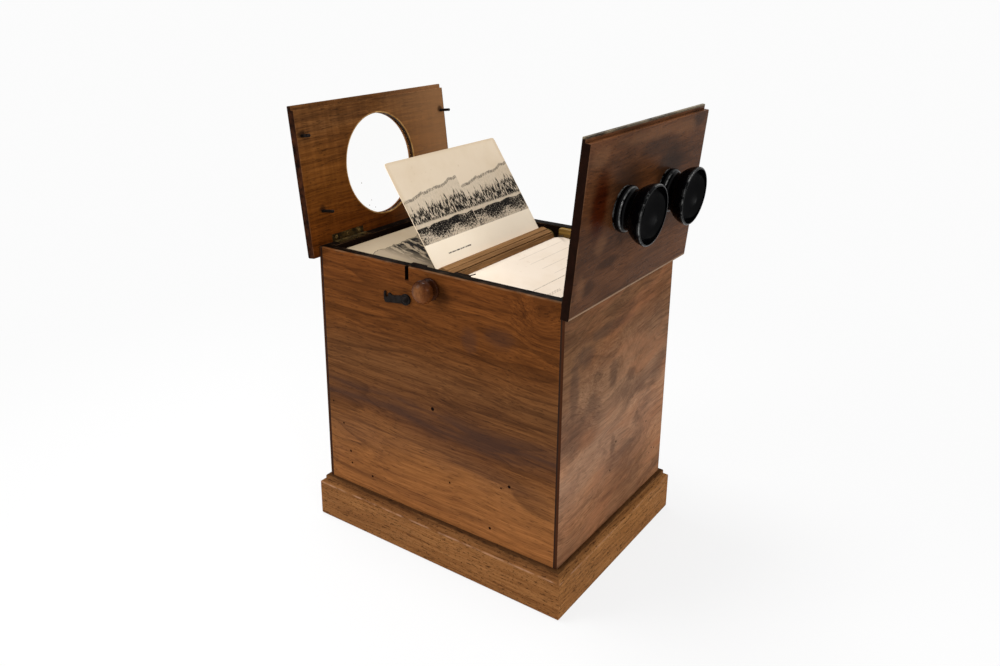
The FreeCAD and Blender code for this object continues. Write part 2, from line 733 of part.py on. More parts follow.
def bent_card():
    """The outline of a card that turns over to its picture side just above its slat."""
    half = S["card_thick"] / 2
    bend_above = 2.2
    bend_from = S["slat_top"] + bend_above
    bend_radius = 28.0
    bend = math.radians(28.4)
    sin_bend, cos_bend = math.sin(bend), math.cos(bend)
    rest = S["card_high"] - (bend_from - S["card_foot"]) - bend_radius * bend
    near, far = bend_radius - half, bend_radius + half
    far_end = (bend_radius - far * cos_bend, bend_from + far * sin_bend)
    near_end = (bend_radius - near * cos_bend, bend_from + near * sin_bend)
    run = (size(rest) * sin_bend, size(rest) * cos_bend)
    return [(-half, S["card_foot"]), (half, S["card_foot"]), (half, bend_from),
            (*near_end, near, "left"),
            (near_end[0] + run[0], near_end[1] + run[1]),
            (far_end[0] + run[0], far_end[1] + run[1]), far_end,
            (-half, bend_from, far, "right")]


def clip(name, sign):
    """A wire finger that rises at a slat's end and leans over the card's back."""
    wire, play = 0.4, 0.05
    x = -(S["card_thick"] / 2 + wire + play)
    y0 = half_slat + wire
    rise_from, rise_to, tip = 8.0, 14.0, 25.0
    body = doc.addObject("PartDesign::Body", name)
    path = body.newObject("Sketcher::SketchObject", name + "_path")
    ring = body.newObject("Sketcher::SketchObject", name + "_ring")
    for sketch, role in ((path, "YZ_Plane"), (ring, "XY_Plane")):
        plane = [part for part in body.Origin.OriginFeatures if part.Role == role]
        sketch.AttachmentSupport = [(plane[0], "")]
        sketch.MapMode = "FlatFace"
    path.AttachmentOffset = FreeCAD.Placement(V(0, 0, x.value), FreeCAD.Rotation())
    ring.AttachmentOffset = FreeCAD.Placement(V(x.value, 0, rise_from), FreeCAD.Rotation())
    turn = math.radians(42)
    curve = 5.0
    start = V(sign * y0.value, rise_from, 0)
    knee = V(sign * y0.value, rise_to, 0)
    middle = knee + V(-sign * curve * (1 - math.cos(turn / 2)), curve * math.sin(turn / 2), 0)
    bent = knee + V(-sign * curve * (1 - math.cos(turn)), curve * math.sin(turn), 0)
    reach = (tip - bent.y) / math.cos(turn)
    end = bent + V(-sign * reach * math.sin(turn), reach * math.cos(turn), 0)
    path.addGeometry(Part.LineSegment(start, knee))
    path.addGeometry(Part.Arc(knee, middle, bent))
    path.addGeometry(Part.LineSegment(bent, end))
    ring.addGeometry(Part.Circle(V(0, sign * y0.value, 0), V(0, 0, 1), wire))
    pipe = body.newObject("PartDesign::AdditivePipe", name + "_pipe")
    pipe.Profile = ring
    pipe.Spine = (path, ["Edge1", "Edge2", "Edge3"])
    body.Tip = pipe
    return body


STANDING, EMPTY, BENT = 0, 1, 2
clips = []
for number in range(int(S["slat_count"].value)):
    slat(number)
    if number == EMPTY:
        continue
    outline = bent_card() if number == BENT else straight_card()
    card = padded(f"card_{number}", "XZ_Plane", outline, S["card_long"], centred=True)
    on_wheel(keep(card, f"postcard_{number + 1}"), number)
    pair = [clip(f"clip_{number}_{end}", sign) for end, sign in (("front", -1), ("rear", 1))]
    placed = on_wheel(group(f"clip_pair_{number}", pair), number)
    if number == STANDING:
        keep(placed, "standing_card_clips")
    else:
        clips.append(placed)
keep(group("clip_set", clips), "card_clips")

card_end = S["card_long"] / 2
disc_play, disc_thick, hub_inset, crown = 1.0, 3.4, 0.4, 0.8
disc_in = card_end + disc_play - half_slat
disc_out = disc_in + disc_thick
hub = S["slat_foot"] - hub_inset
for place_name, sign in (("front", -1), ("rear", 1)):
    profile = [(S["axle"], 0), (hub, 0), (hub, disc_in), (S["disc"] - crown, disc_in),
               (S["disc"], disc_in + crown, crown, "right"), (S["disc"], disc_out - crown),
               (S["disc"] - crown, disc_out, crown, "right"), (S["axle"], disc_out)]
    disc = turned(f"disc_{place_name}", profile)
    place(disc, y=sign * half_slat, z=S["wheel_high"], axis=(1, 0, 0), angle=-90 * sign)
    keep(disc, f"wheel_disc_{place_name}")

knob_gap, axle_deep, axle_stop = 0.4, 4.0, 1.4
axle_front = -(half_depth + knob_gap + S["knob_long"] - axle_deep)
axle_rear = half_depth - axle_stop
keep(rod("axle_rod", S["axle"], (0, axle_front, S["wheel_high"]), axle_rear - axle_front, "+y"),
     "wheel_axle")


def knob_profile():
    """The half profile of a turned knob: a collar, a waist and a ball with a flatter face."""
    head, long = S["knob_head"], S["knob_long"]
    collar, collar_high, collar_round = 8.4, 1.8, 0.9
    waist, waist_from, waist_to = 5.2, 3.6, 4.2
    widest_at, face, face_at = 8.8, 6.4, 13.0
    axle_end = long - axle_deep
    return [
        (S["axle"], 0), (collar - collar_round, 0), (collar, collar_round, collar_round, "right"),
        (collar, collar_high), (collar - 1.0, collar_high + 1.0, 1.0, "right"), (waist, waist_from),
        (waist, waist_to), (head, widest_at, bow(head - waist, widest_at - waist_to), "right"),
        (face, face_at, bow(head - face, face_at - widest_at), "right"),
        (0, long, bow(long - face_at, face), "right"), (0, axle_end), (S["axle"], axle_end)]


knob = turned("knob_blank", knob_profile())
place(knob, y=-(half_depth + knob_gap), z=S["wheel_high"], axis=(1, 0, 0), angle=90)
keep(knob, "turning_knob")


# What carries the wheel: a flanged bush in each long wall, and a forked block inside it

flange, flange_thick, axle_play = 5.6, 0.8, 0.05
journal = S["axle"] + axle_play
fork_low, fork_high, fork_half, fork_play = 190.0, 236.2, 26.0, 1.2
mouth = 13.0
for place_name, sign in (("front", -1), ("rear", 1)):
    depth = bush_long(sign)
    bush = turned(f"bush_{place_name}_blank", [
        (journal, -flange_thick), (flange, -flange_thick), (flange, 0), (S["bush"], 0),
        (S["bush"], depth), (journal, depth)])
    place(bush, y=sign * inner_y, z=S["wheel_high"], axis=(1, 0, 0), angle=-90 * sign)
    keep(bush, f"axle_bush_{place_name}")
    cheek = sign * (card_end + fork_play)
    cheek_tool = cheek - sign * past
    block = box(f"fork_{place_name}_blank", (-fork_half, fork_half), (cheek, sign * inner_y),
                (fork_low, fork_high))
    gap = box(f"fork_{place_name}_gap", (-mouth, mouth), (cheek_tool, sign * (inner_y + past)),
              (S["wheel_high"], fork_high + past))
    round_gap = rod(f"fork_{place_name}_round", mouth, (0, cheek_tool, S["wheel_high"]),
                    inner_y - card_end + past * 2, "+y" if sign > 0 else "-y")
    keep(cut(f"fork_{place_name}_cut", block, [fuse(f"fork_{place_name}_room", [gap, round_gap])]),
         f"bearing_block_{place_name}")


# Latch: an iron hook that turns on a round-headed screw

def hook_outline():
    """The hook laid level, pivot at the origin, arm to -X, with a claw and a nib turned up."""
    boss, reach = 4.3, S["hook_reach"].value
    root, waist = 3.0, 2.3
    claw, claw_angle = 0.8, math.radians(18.0)
    notch, notch_floor = 15.9, 2.0
    nib_side, nib_top, nib_foot, nib_round = 4.2, 4.9, 12.2, 1.2
    corner = 1.8
    outside, inside = reach + claw, reach - claw
    across = math.sqrt(boss ** 2 - root ** 2)
    floor_x = math.sqrt(inside ** 2 - notch_floor ** 2)
    tip_out = (-outside * math.cos(claw_angle), outside * math.sin(claw_angle))
    tip_in = (-inside * math.cos(claw_angle), inside * math.sin(claw_angle))
    return [
        (-across, -root, boss, "left"), (corner - outside, -waist),
        (-outside, corner - waist, corner, "left"), (*tip_out, outside, "left"), tip_in,
        (-floor_x, notch_floor, inside, "right"), (-notch, notch_floor), (-notch, nib_side),
        (nib_round - notch, nib_top, nib_round, "left"), (-nib_foot, root), (-across, root),
        (0, boss, boss, "left"), (boss, 0, boss, "left"), (0, -boss, boss, "left")]


hook_blank = padded("hook_blank", "XZ_Plane", hook_outline(), S["hook_thick"])
pivot_play = 0.1
hook_bore = rod("hook_bore", hook_screw_thick + pivot_play, (0, past, 0), S["hook_thick"] + past * 2, "-y")
hook = cut("hook_bored", hook_blank, [hook_bore])
place(hook, x=hook_x, y=-(half_depth + S["hook_gap"]), z=S["hook_high"], axis=(0, -1, 0),
      angle=S["hook_sag"])
keep(hook, "latch_hook")

head, head_high, head_play = 2.7, 1.5, 0.15
tip, tip_long = 0.3, 1.6
head_foot = S["hook_gap"] + S["hook_thick"] + head_play
hook_screw = turned("hook_screw_blank", [
    (0, -hook_screw_deep), (tip, -hook_screw_deep), (hook_screw_thick, tip_long - hook_screw_deep),
    (hook_screw_thick, head_foot), (head, head_foot),
    (0, head_foot + head_high, bow(head_high, head), "right")])
place(hook_screw, x=hook_x, y=-half_depth, z=S["hook_high"], axis=(1, 0, 0), angle=90)
keep(hook_screw, "hook_screw")


# Glue blocks in the bottom corners

leg, high = 14.0, 22.0
blocks = []
for x_sign in (-1, 1):
    for y_sign in (-1, 1):
        corner = padded(f"glue_block_{len(blocks)}", "XY_Plane", [
            (0, 0), (x_sign * leg, 0), (0, y_sign * leg)], high)
        blocks.append(place(corner, x=-x_sign * inner_x, y=-y_sign * inner_y, z=S["bottom"]))
keep(group("glue_block_set", blocks), "corner_blocks")


# Checks, then one file for each piece

doc.recompute()
for thing in doc.Objects:
    if "Invalid" in thing.State or "Error" in thing.State:
        raise RuntimeError(f"{thing.Name} ({thing.Label}) failed: {thing.State}")
for node in nodes:
    if node.Shape.isNull() or not node.Shape.isValid():
        raise RuntimeError(f"{node.Label} has no valid shape")
os.makedirs("parts", exist_ok=True)
for node in nodes:
    node.Shape.exportStep(f"parts/{node.Label}.step")
print(len(nodes), "pieces written")
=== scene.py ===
# %% [markdown]
# # A walnut postcard viewer, dressed for its portrait
#
# The wooden box in this lesson comes ready made from a drawing program. Every board, hinge,
# screw and slat is already a mesh in its right place. What is left is the part that an eye
# sees first: wood that looks grown, iron that looks forged and paper that looks handled.
#
# Nothing that it loads is moved or reshaped here. Lengths are metres, Z is up, the
# eyepieces are at the +X end and the knob is on the -Y side.

import math

import bpy
from mathutils import Matrix, Vector


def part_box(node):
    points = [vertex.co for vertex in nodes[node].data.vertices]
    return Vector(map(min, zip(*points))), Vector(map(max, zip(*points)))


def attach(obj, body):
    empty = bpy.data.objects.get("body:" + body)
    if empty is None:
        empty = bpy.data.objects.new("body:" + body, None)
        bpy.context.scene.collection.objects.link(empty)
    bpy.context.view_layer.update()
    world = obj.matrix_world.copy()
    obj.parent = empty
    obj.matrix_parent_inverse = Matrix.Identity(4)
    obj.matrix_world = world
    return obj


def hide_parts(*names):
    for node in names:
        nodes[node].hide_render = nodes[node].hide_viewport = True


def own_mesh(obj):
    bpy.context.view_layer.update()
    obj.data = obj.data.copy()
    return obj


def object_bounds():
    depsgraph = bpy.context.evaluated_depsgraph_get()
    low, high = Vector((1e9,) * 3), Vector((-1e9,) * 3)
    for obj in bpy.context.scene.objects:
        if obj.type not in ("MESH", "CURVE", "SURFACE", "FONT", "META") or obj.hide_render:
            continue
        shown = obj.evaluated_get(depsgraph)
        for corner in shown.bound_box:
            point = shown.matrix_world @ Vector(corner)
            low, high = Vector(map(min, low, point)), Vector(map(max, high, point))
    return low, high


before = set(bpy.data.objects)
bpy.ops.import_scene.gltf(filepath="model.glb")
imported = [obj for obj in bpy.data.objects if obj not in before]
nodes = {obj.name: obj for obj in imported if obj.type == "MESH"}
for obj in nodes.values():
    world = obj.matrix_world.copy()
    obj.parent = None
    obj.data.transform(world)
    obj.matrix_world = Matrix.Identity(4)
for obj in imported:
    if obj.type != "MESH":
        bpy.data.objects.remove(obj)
box_low, box_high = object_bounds()
MM = 0.001
box_mm = [round((high - low) / MM) for low, high in zip(box_low, box_high)]
print("with its lids open, the box measures", box_mm, "mm")

# %% [markdown]
# ## The camera
#
# A camera copies a photograph only if it stands where the photographer stood. The place, the
# direction and the lens were worked out from the box's own corners, whose real distances are
# known. The lens is a slightly wide one. The picture was cropped off centre afterwards, so the
# camera gets a small shift, which slides the frame and bends nothing.

# %% Set the camera down
CAMERA_PLACE = Vector((0.3791, -0.5568, 0.4359))
CAMERA_AIM = Vector((-0.5589, 0.7709, -0.3055))
LENS_MM, FILM_MM = 32.45, 36.0
SHIFT_ACROSS, SHIFT_UP = 0.0279, -0.0673

lens = bpy.data.cameras.new("portrait_lens")
lens.lens, lens.sensor_width = LENS_MM, FILM_MM
lens.shift_x, lens.shift_y = SHIFT_ACROSS, SHIFT_UP
lens.clip_start, lens.clip_end = 0.01, 100.0
camera = bpy.data.objects.new("portrait_camera", lens)
bpy.context.scene.collection.objects.link(camera)
camera.location = CAMERA_PLACE
camera.rotation_euler = CAMERA_AIM.to_track_quat("-Z", "Y").to_euler()
bpy.context.scene.camera = camera
print("the camera is", round(CAMERA_PLACE.length, 2), "m from the box's foot")

# %% [markdown]
# ## Small helpers for node trees
#
# A material is a little machine of nodes. One tree at a time lies on the workbench, and the
# helpers wire that one, so that no finish has to name it again. They add a node, do
# arithmetic, rescale a number or mix two colours. A mask is a number from 0 to 1 that says
# where something is. Colours are written as on a screen, from 0 to 255, and turned into light.

# %% Add nodes and wire them
workbench = {}


def wire(value, socket):
    """Join a node's output to a socket, or set the socket to a plain value."""
    if isinstance(value, bpy.types.NodeSocket):
        workbench["tree"].links.new(value, socket)
    else:
        socket.default_value = value


def add(kind, sockets=None, **settings):
    """Add one node to the tree on the workbench."""
    node = workbench["tree"].nodes.new("ShaderNode" + kind)
    for name, value in settings.items():
        setattr(node, name, value)
    for name, value in (sockets or {}).items():
        wire(value, node.inputs[name])
    return node


def finish_with(name, specular=0.5, clear=0.0, **sockets):
    """A new material on the workbench, and the sockets of its one surface."""
    made = bpy.data.materials.new(name)
    made.use_nodes = True
    made.node_tree.nodes.clear()
    workbench["tree"] = made.node_tree
    sockets.update({"Specular IOR Level": specular, "Transmission Weight": clear})
    shader = add("BsdfPrincipled", sockets)
    add("OutputMaterial", {"Surface": shader.outputs[0]})
    return made, shader.inputs


def dress(made, *names):
    """Give a material to CAD nodes by name."""
    for name in names:
        for slot in nodes[name].material_slots:
            slot.link = "OBJECT"
            slot.material = made


print("nodes can be added and wired")

# %% Numbers and masks
def calc(operation, *values):
    """Arithmetic with one, two or three numbers."""
    return add("Math", dict(enumerate(values)), operation=operation).outputs[0]


def vector(operation, *values):
    """Arithmetic with whole points."""
    node = add("VectorMath", dict(enumerate(values)), operation=operation)
    return node.outputs["Value" if operation in ("DISTANCE", "LENGTH") else "Vector"]


def times(first, *others):
    """A product. Of masks, it is where all of them are."""
    for other in others:
        first = calc("MULTIPLY", first, other)
    return first


def most(first, *others):
    """The greatest. Of masks, it is where any of them is."""
    for other in others:
        first = calc("MAXIMUM", first, other)
    return first


def spread(value, low, high, to_low=0.0, to_high=1.0, soft=False):
    """Rescale a number from one range to another and clamp it there."""
    sockets = {"Value": value, "From Min": low, "From Max": high,
               "To Min": to_low, "To Max": to_high}
    way = "SMOOTHSTEP" if soft else "LINEAR"
    return add("MapRange", sockets, interpolation_type=way).outputs["Result"]


def near(value, middle, half, soft_edge, soft=False):
    """A mask where a number lies close to a middle."""
    away = calc("ABSOLUTE", calc("SUBTRACT", value, middle))
    return spread(away, half + soft_edge, half, soft=soft)


def along(place, axis):
    """One of a point's three numbers."""
    return add("SeparateXYZ", {0: place}).outputs["XYZ".index(axis)]


def own_place():
    """A point's place as it is at rest, in metres."""
    return add("TexCoord").outputs["Object"]


def noise(where, scale, detail=3.0, rough=0.5, stretch=(1, 1, 1), start=(0, 0, 0)):
    """Cloudy noise, longer along an axis whose stretch is small."""
    laid = add("Mapping", {"Vector": where, "Scale": stretch, "Location": start}).outputs[0]
    sockets = {"Vector": laid, "Scale": scale, "Detail": detail, "Roughness": rough}
    return add("TexNoise", sockets).outputs["Fac"]


def patches(where, scale, low, high, *shape):
    """A mask of noise: nothing below its low level, all above its high one."""
    return spread(noise(where, scale, *shape), low, high)


print("masks can be cut")

# %% Colours
def paint(*levels):
    """A screen colour, 0 to 255, as the linear colour that a shader wants."""
    def linear(level):
        level /= 255
        # these numbers are the screen standard's own
        return level / 12.92 if level <= 0.04045 else ((level + 0.055) / 1.055) ** 2.4
    return (*map(linear, levels), 1.0)


def mix(amount, under, over, way="MIX"):
    """Blend one colour over another. The node keeps its colours in inputs 6 and 7, output 2."""
    sockets = {0: amount, 6: under, 7: over}
    return add("Mix", sockets, data_type="RGBA", blend_type=way, clamp_factor=True).outputs[2]


def lay(colour, over, mask, strength):
    """Lay a paint over a colour where a mask is, at some strength."""
    return mix(times(mask, strength), colour, over)


def tint(colour, by):
    """Make a colour darker or lighter."""
    return mix(1.0, colour, by, "MULTIPLY")


def ramp(value, *stops):
    """A colour scale: stops are (position, colour), from low to high."""
    node = add("ValToRGB", {"Fac": value})
    scale = node.color_ramp
    while len(scale.elements) < len(stops):
        scale.elements.new(0.5)
    for element, (position, colour) in zip(scale.elements, stops):
        element.position, element.color = position, colour
    return node.outputs["Color"]


def roughen(surface, height, strength, depth):
    """Let light see small hollows that the shape doesn't have."""
    bump = add("Bump", {"Height": height, "Strength": strength, "Distance": depth})
    wire(bump.outputs[0], surface["Normal"])


print("colours can be mixed")

# %% [markdown]
# ## Where each board's grain runs
#
# Wood is cut from a trunk, so its pattern is a solid one: the same rings show on a board's
# face and on its edge. A shader can do the same by asking each point for its place in the
# board. The lids stand open at an angle, so their places are turned back first, as if they
# lay closed. After that, X always runs along the grain and Z across it.

# %% Turn each board's places along its grain
LEFT_AXIS = Vector((-0.1092466, 0.0, 0.23545))
RIGHT_AXIS = Vector((0.10907, 0.0, 0.23545))
LEFT_OPEN, RIGHT_OPEN = -97.0, 95.5
LENGTHWISE = Matrix.Identity(4)
CROSSWISE = Matrix.Rotation(math.radians(90), 4, "Z")
# lays X along the box's short way, stands Y up and turns Z to the eyepieces
STAND_UP = Matrix(((0, 0, 1, 0), (1, 0, 0, 0), (0, 1, 0, 0), (0, 0, 0, 1)))


def opened_lid(axis, opened):
    """A lid's own axes at rest: X along its hinge, Y out of its outer face, Z across it."""
    return Matrix.Translation(axis) @ Matrix.Rotation(math.radians(opened), 4, "Y") @ STAND_UP


def in_board(board):
    """A point's place in a board's own axes."""
    back = board.inverted()
    return add("Mapping", {"Vector": own_place(), "Location": back.to_translation(),
                           "Rotation": back.to_euler()}).outputs[0]


LEFT_LID = opened_lid(LEFT_AXIS, LEFT_OPEN)
RIGHT_LID = opened_lid(RIGHT_AXIS, RIGHT_OPEN)
print("the eyepiece lid's free edge is at", (RIGHT_LID @ Vector((0, 0, -0.11))).to_tuple(3))

# %% [markdown]
# ## Walnut
#
# Four sizes of detail make walnut look like walnut. Broad clouds of grey violet heartwood lie
# under everything. Growth lines part and close again. Long streaks run beside them, and
# fibres and open pores, much finer, give the broken sheen that a single colour lacks.
#
# All of it is noise drawn out along the grain. First the place itself is bent by slow waves,
# so that every line bends with its neighbours, as grain does. The growth lines are the level
# lines of one noise, as on a map of hills. The pores are noise cut off so sharply that only
# short dark dashes are left. Old wax gives little reflection, so the surface's own specular
# share stays low and the colour stays deep.

# %% Grain that bends
# how many waves of each noise there are in a metre
SLOW_WAVES, QUICK_WAVES, HILLS = 7.0, 26.0, 24.0
QUICK_SHARE = 0.3
LINES_ON_A_HILL, LINE_START, LINE_CREST, LINE_SHARPNESS = 13.0, 0.25, 0.96, 3.0
FACE_ONLY = (1, 0, 1)


def bent_grain(place, slope, sway, seed):
    """A board's place, bent by slow waves and tilted by a slope in millimetres per metre."""
    slow = noise(place, SLOW_WAVES, 2.0, 0.5, (0.8, 1, 1), (seed, 0, 0))
    quick = noise(place, QUICK_WAVES, 2.0, 0.5, (0.5, 1, 1), (0, 0, seed))
    shift = times(calc("SUBTRACT", slow, 0.5), sway)
    shift = calc("ADD", shift, times(calc("SUBTRACT", quick, 0.5), sway * QUICK_SHARE))
    shift = calc("MULTIPLY_ADD", along(place, "X"), slope * MM, shift)
    return vector("ADD", place, add("CombineXYZ", {"Y": shift, "Z": shift}).outputs[0])


def growth_lines(grain, seed):
    """Thin dark lines that follow the level lines of one noise."""
    hills = noise(grain, HILLS, 2.0, 0.45, (0.07, 1, 1), (seed, seed, 0))
    steps = calc("FRACT", times(hills, LINES_ON_A_HILL))
    rise = calc("POWER", spread(steps, LINE_START, LINE_CREST), LINE_SHARPNESS)
    return times(rise, spread(steps, 1.0, LINE_CREST))


def apart(flat, x, z):
    """How far a point on a board's face is from one given in millimetres."""
    return vector("DISTANCE", flat, (x * MM, 0, z * MM))


def round_knot(place, grain, x, z, reach, lift):
    """Lift the grain over a knot, so that its lines part round it. In millimetres."""
    away = apart(vector("MULTIPLY", place, FACE_ONLY), x, z)
    raised = spread(away, reach * MM, 0.0, 0.0, lift * MM, soft=True)
    return vector("ADD", grain, add("CombineXYZ", {"Y": raised, "Z": raised}).outputs[0])


print("grain can bend")

# %% A walnut finish
PORE, VIOLET = paint(24, 13, 7), paint(58, 42, 38)
BROAD_BANDS, STREAKS, MIST, FIBRES, PORES, WEAR = 60.0, 520.0, 15.0, 1000.0, 1250.0, 25.0
FIBRE_DARK, FIBRE_LIGHT = (0.76, 0.74, 0.72, 1), (1.18, 1.18, 1.17, 1)
MORE_POLISHED, LESS_POLISHED = 0.08, 0.1
FIBRE_RELIEF, GRAIN_BUMP, GRAIN_DEPTH = 0.4, 0.3, 0.2 * MM


def walnut(name, board, woods, slope=0.0, sway=0.01, bands=0.35, lines=0.25, cloud=0.3, pores=0.5,
           rough=0.5, shine=0.01, seed=0.0, knot=None, extra=None):
    """Old waxed walnut of a light, a middle and a dark wood. extra adds one board's own marks."""
    made, surface = finish_with(name, shine)
    light, middle, dark = (paint(*wood) for wood in woods)
    place = in_board(board)
    grain = bent_grain(place, slope, sway, seed)
    if knot:
        grain = round_knot(place, grain, *knot)

    broad = noise(grain, BROAD_BANDS, 3.0, 0.5, (0.1, 1, 1), (seed, 0, 0))
    streaks = noise(grain, STREAKS, 4.0, 0.6, (0.035, 1, 1), (0, seed, 0))
    tone = spread(calc("ADD", times(broad, bands), times(streaks, 1 - bands)), 0.33, 0.67)
    colour = ramp(tone, (0.0, dark), (0.45, middle), (1.0, light))

    colour = lay(colour, mix(0.45, dark, PORE), growth_lines(grain, seed), lines)
    mist = noise(grain, MIST, 4.0, 0.6, (0.4, 1, 1), (seed, 0, seed))
    colour = lay(colour, mix(0.4, dark, VIOLET), spread(mist, 0.5, 0.7, soft=True), cloud)

    fibres = noise(grain, FIBRES, 3.0, 0.65, (0.03, 1, 1))
    colour = tint(colour, ramp(fibres, (0.3, FIBRE_DARK), (0.7, FIBRE_LIGHT)))
    holes = patches(grain, PORES, 0.62, 0.7, 1.0, 0.4, (0.12, 1, 1))
    colour = lay(colour, PORE, holes, pores)
    if extra:
        colour = extra(place, colour)
    wire(colour, surface["Base Color"])

    worn = spread(noise(place, WEAR), 0.3, 0.7, rough - MORE_POLISHED, rough + LESS_POLISHED)
    wire(worn, surface["Roughness"])
    roughen(surface, calc("SUBTRACT", times(fibres, FIBRE_RELIEF), holes), GRAIN_BUMP, GRAIN_DEPTH)
    return made


print("walnut is ready to be cut")

# %% Blots, worm holes and stain
HOLE_AND_SHADOW_BLACK, STAIN_AND_SHADE, STAIN_WORN = paint(14, 7, 4), paint(10, 6, 4), paint(52, 38, 28)
INSIDE, RUBBED_CORNER = paint(26, 16, 10), paint(120, 92, 66)
BLOT_RAGS, BLOT_OUTSIDE, BLOT_INSIDE = 110.0, 1.2, 0.4
HOLE_BLUR = 0.4
WALL_TOP = 0.237
TOP_STAIN = WALL_TOP - 0.4 * MM, WALL_TOP - 0.1 * MM
TOP_LINE = WALL_TOP - 0.9 * MM, WALL_TOP - 0.5 * MM
CORNER_BLUR, CORNER_LEFT = 0.4 * MM, 0.25


def blots(place, spots, torn=0.9):
    """Soft stains with torn edges, as (along, up, half wide, half high) in millimetres."""
    rags = noise(place, BLOT_RAGS, 4.0, 0.6, (0.5, 1, 1))
    ragged = calc("MULTIPLY_ADD", rags, torn, -torn / 2)
    stained = 0.0
    for x, z, wide, high in spots:
        off = vector("SUBTRACT", place, (x * MM, 0, z * MM))
        off = vector("MULTIPLY", off, (1 / (wide * MM), 0, 1 / (high * MM)))
        spot = calc("ADD", vector("LENGTH", off), ragged)
        stained = most(stained, spread(spot, BLOT_OUTSIDE, BLOT_INSIDE, soft=True))
    return stained


def worm_holes(place, colour, holes):
    """Round dark holes, listed as (along, up, radius) in millimetres."""
    flat = vector("MULTIPLY", place, FACE_ONLY)
    dug = 0.0
    for x, z, radius in holes:
        hole = spread(apart(flat, x, z), radius * MM, (radius + HOLE_BLUR) * MM, 1.0, 0.0)
        dug = most(dug, hole)
    return mix(dug, colour, HOLE_AND_SHADOW_BLACK)


def stained_top(place, colour, corner=1.0):
    """Black stain on a wall's top edge, rubbed away further out than a corner."""
    up = along(place, "Z")
    out = calc("ABSOLUTE", along(place, "Y"))
    kept = spread(out, corner - CORNER_BLUR, corner, 1.0, CORNER_LEFT)
    worn = noise(place, 260.0, 3.0, 0.6, (0.4, 1, 1))
    line = times(spread(up, *TOP_LINE), spread(worn, 0.35, 0.6))
    colour = lay(colour, RUBBED_CORNER, line, 0.5)
    darkening = times(spread(up, *TOP_STAIN), kept)
    return mix(darkening, colour, ramp(worn, (0.5, STAIN_AND_SHADE), (0.8, STAIN_WORN)))


def inside_dark(colour, axis, inner, outer):
    """Stain a wall's inner face, which lies between two places on one axis."""
    across = calc("ABSOLUTE", along(own_place(), axis))
    return mix(spread(across, outer, inner), colour, INSIDE)


print("stains can be laid on")

# %% [markdown]
# ## The four walls
#
# The long front wall is golden near its foot and redder above, with a dusky belt between.
# Woodworm has left a few round holes in it, and a painted shadow of the knob lies beside it.
# Its top edge was stained black, and hands have rubbed the outer corner of it bare. The ends
# have grey blots and pale wisps. At each corner the end wall laps the front wall, and its end
# grain shows as a dark strip, because end grain drinks more stain than a face does.

# %% The front and back walls
FRONT_HOLES = ((0, 129.8, 1.3), (-92.5, 90, 0.6), (-86, 66.5, 0.8), (-85, 56, 0.7), (-63, 51, 0.8),
               (15.5, 73, 0.6), (69, 88.7, 1.0), (62, 85, 0.5), (52.4, 48, 0.9), (-103, 107, 0.5))
FRONT_BLOTS = ((34, 193, 8, 11), (4, 112, 16, 7), (60, 200, 14, 9), (-40, 119, 30, 5))
KNOB_SHADOW = ((8, 221, 12, 8),)
# height in millimetres, and how much lighter the wood is there, in red, green and blue
FRONT_TONES = ((40, 1.68, 1.88, 2.15), (88, 1.56, 1.86, 2.2), (106, 0.93, 1.06, 1.35),
               (150, 0.88, 1.06, 1.4), (185, 0.86, 0.86, 0.8), (237, 0.94, 0.88, 0.76))
# a belt or a slot: its middle, half its width and how far it fades
DUSK, DUSK_BELT = paint(58, 40, 33), (118 * MM, 4 * MM, 12 * MM)
CATCH_SLOT, SLOT_FLOOR = (-22.1 * MM, 1.55 * MM, 0.3 * MM), (226.1 * MM, 226.7 * MM)
LONG_WALL_INSIDE = 76.5 * MM, 77.5 * MM


def by_height(place, colour, tones):
    """Make a board lighter or darker by height."""
    low, high = tones[0][0], tones[-1][0]
    up = spread(along(place, "Z"), low * MM, high * MM)
    stops = [((at - low) / (high - low), (*amount, 1)) for at, *amount in tones]
    return tint(colour, ramp(up, *stops))


def catch_slot_dark(colour):
    """The slot that the window lid's catch drops into is black inside."""
    where = own_place()
    beside = near(along(where, "X"), *CATCH_SLOT)
    deep = spread(along(where, "Z"), *SLOT_FLOOR)
    return mix(times(beside, deep), colour, STAIN_AND_SHADE)


def front_extra(place, colour):
    """The front wall: golden foot, dusky belt, a painted knob shadow, worm holes and a black top.
    """
    uneven = bent_grain(place, 5.0, 0.03, 3.0)
    colour = by_height(uneven, colour, FRONT_TONES)
    belt = near(along(uneven, "Z"), *DUSK_BELT, soft=True)
    belt = times(belt, patches(uneven, 130.0, 0.3, 0.6, 4.0, 0.6, (0.08, 1, 1)))
    dusk = most(times(belt, 0.74), times(blots(place, FRONT_BLOTS), 0.4))
    colour = mix(dusk, colour, DUSK)
    # a painted shadow of the knob, torn at its edge, lies beside and below it
    colour = lay(colour, HOLE_AND_SHADOW_BLACK, blots(place, KNOB_SHADOW, 0.6), 0.5)
    colour = worm_holes(place, colour, FRONT_HOLES)
    colour = catch_slot_dark(inside_dark(colour, "Y", *LONG_WALL_INSIDE))
    return stained_top(place, colour, corner=82.8 * MM)


def back_extra(place, colour):
    """The back wall, plain outside and dark inside."""
    colour = by_height(bent_grain(place, 10.0, 0.03, 6.0), colour, FRONT_TONES)
    return stained_top(place, inside_dark(colour, "Y", *LONG_WALL_INSIDE))


LONG_WALL_WOODS = (114, 68, 33), (98, 57, 27), (75, 42, 20)
dress(walnut("front_walnut", LENGTHWISE, LONG_WALL_WOODS, slope=35.0, sway=0.02, lines=0.55,
             pores=0.4, seed=1.0, knot=(91, 221, 26, 8), extra=front_extra), "front_board")
dress(walnut("back_walnut", LENGTHWISE, LONG_WALL_WOODS, slope=-20.0, sway=0.02, seed=4.0,
             extra=back_extra), "back_board")
print("front and back are dressed, with", len(FRONT_HOLES), "worm holes")

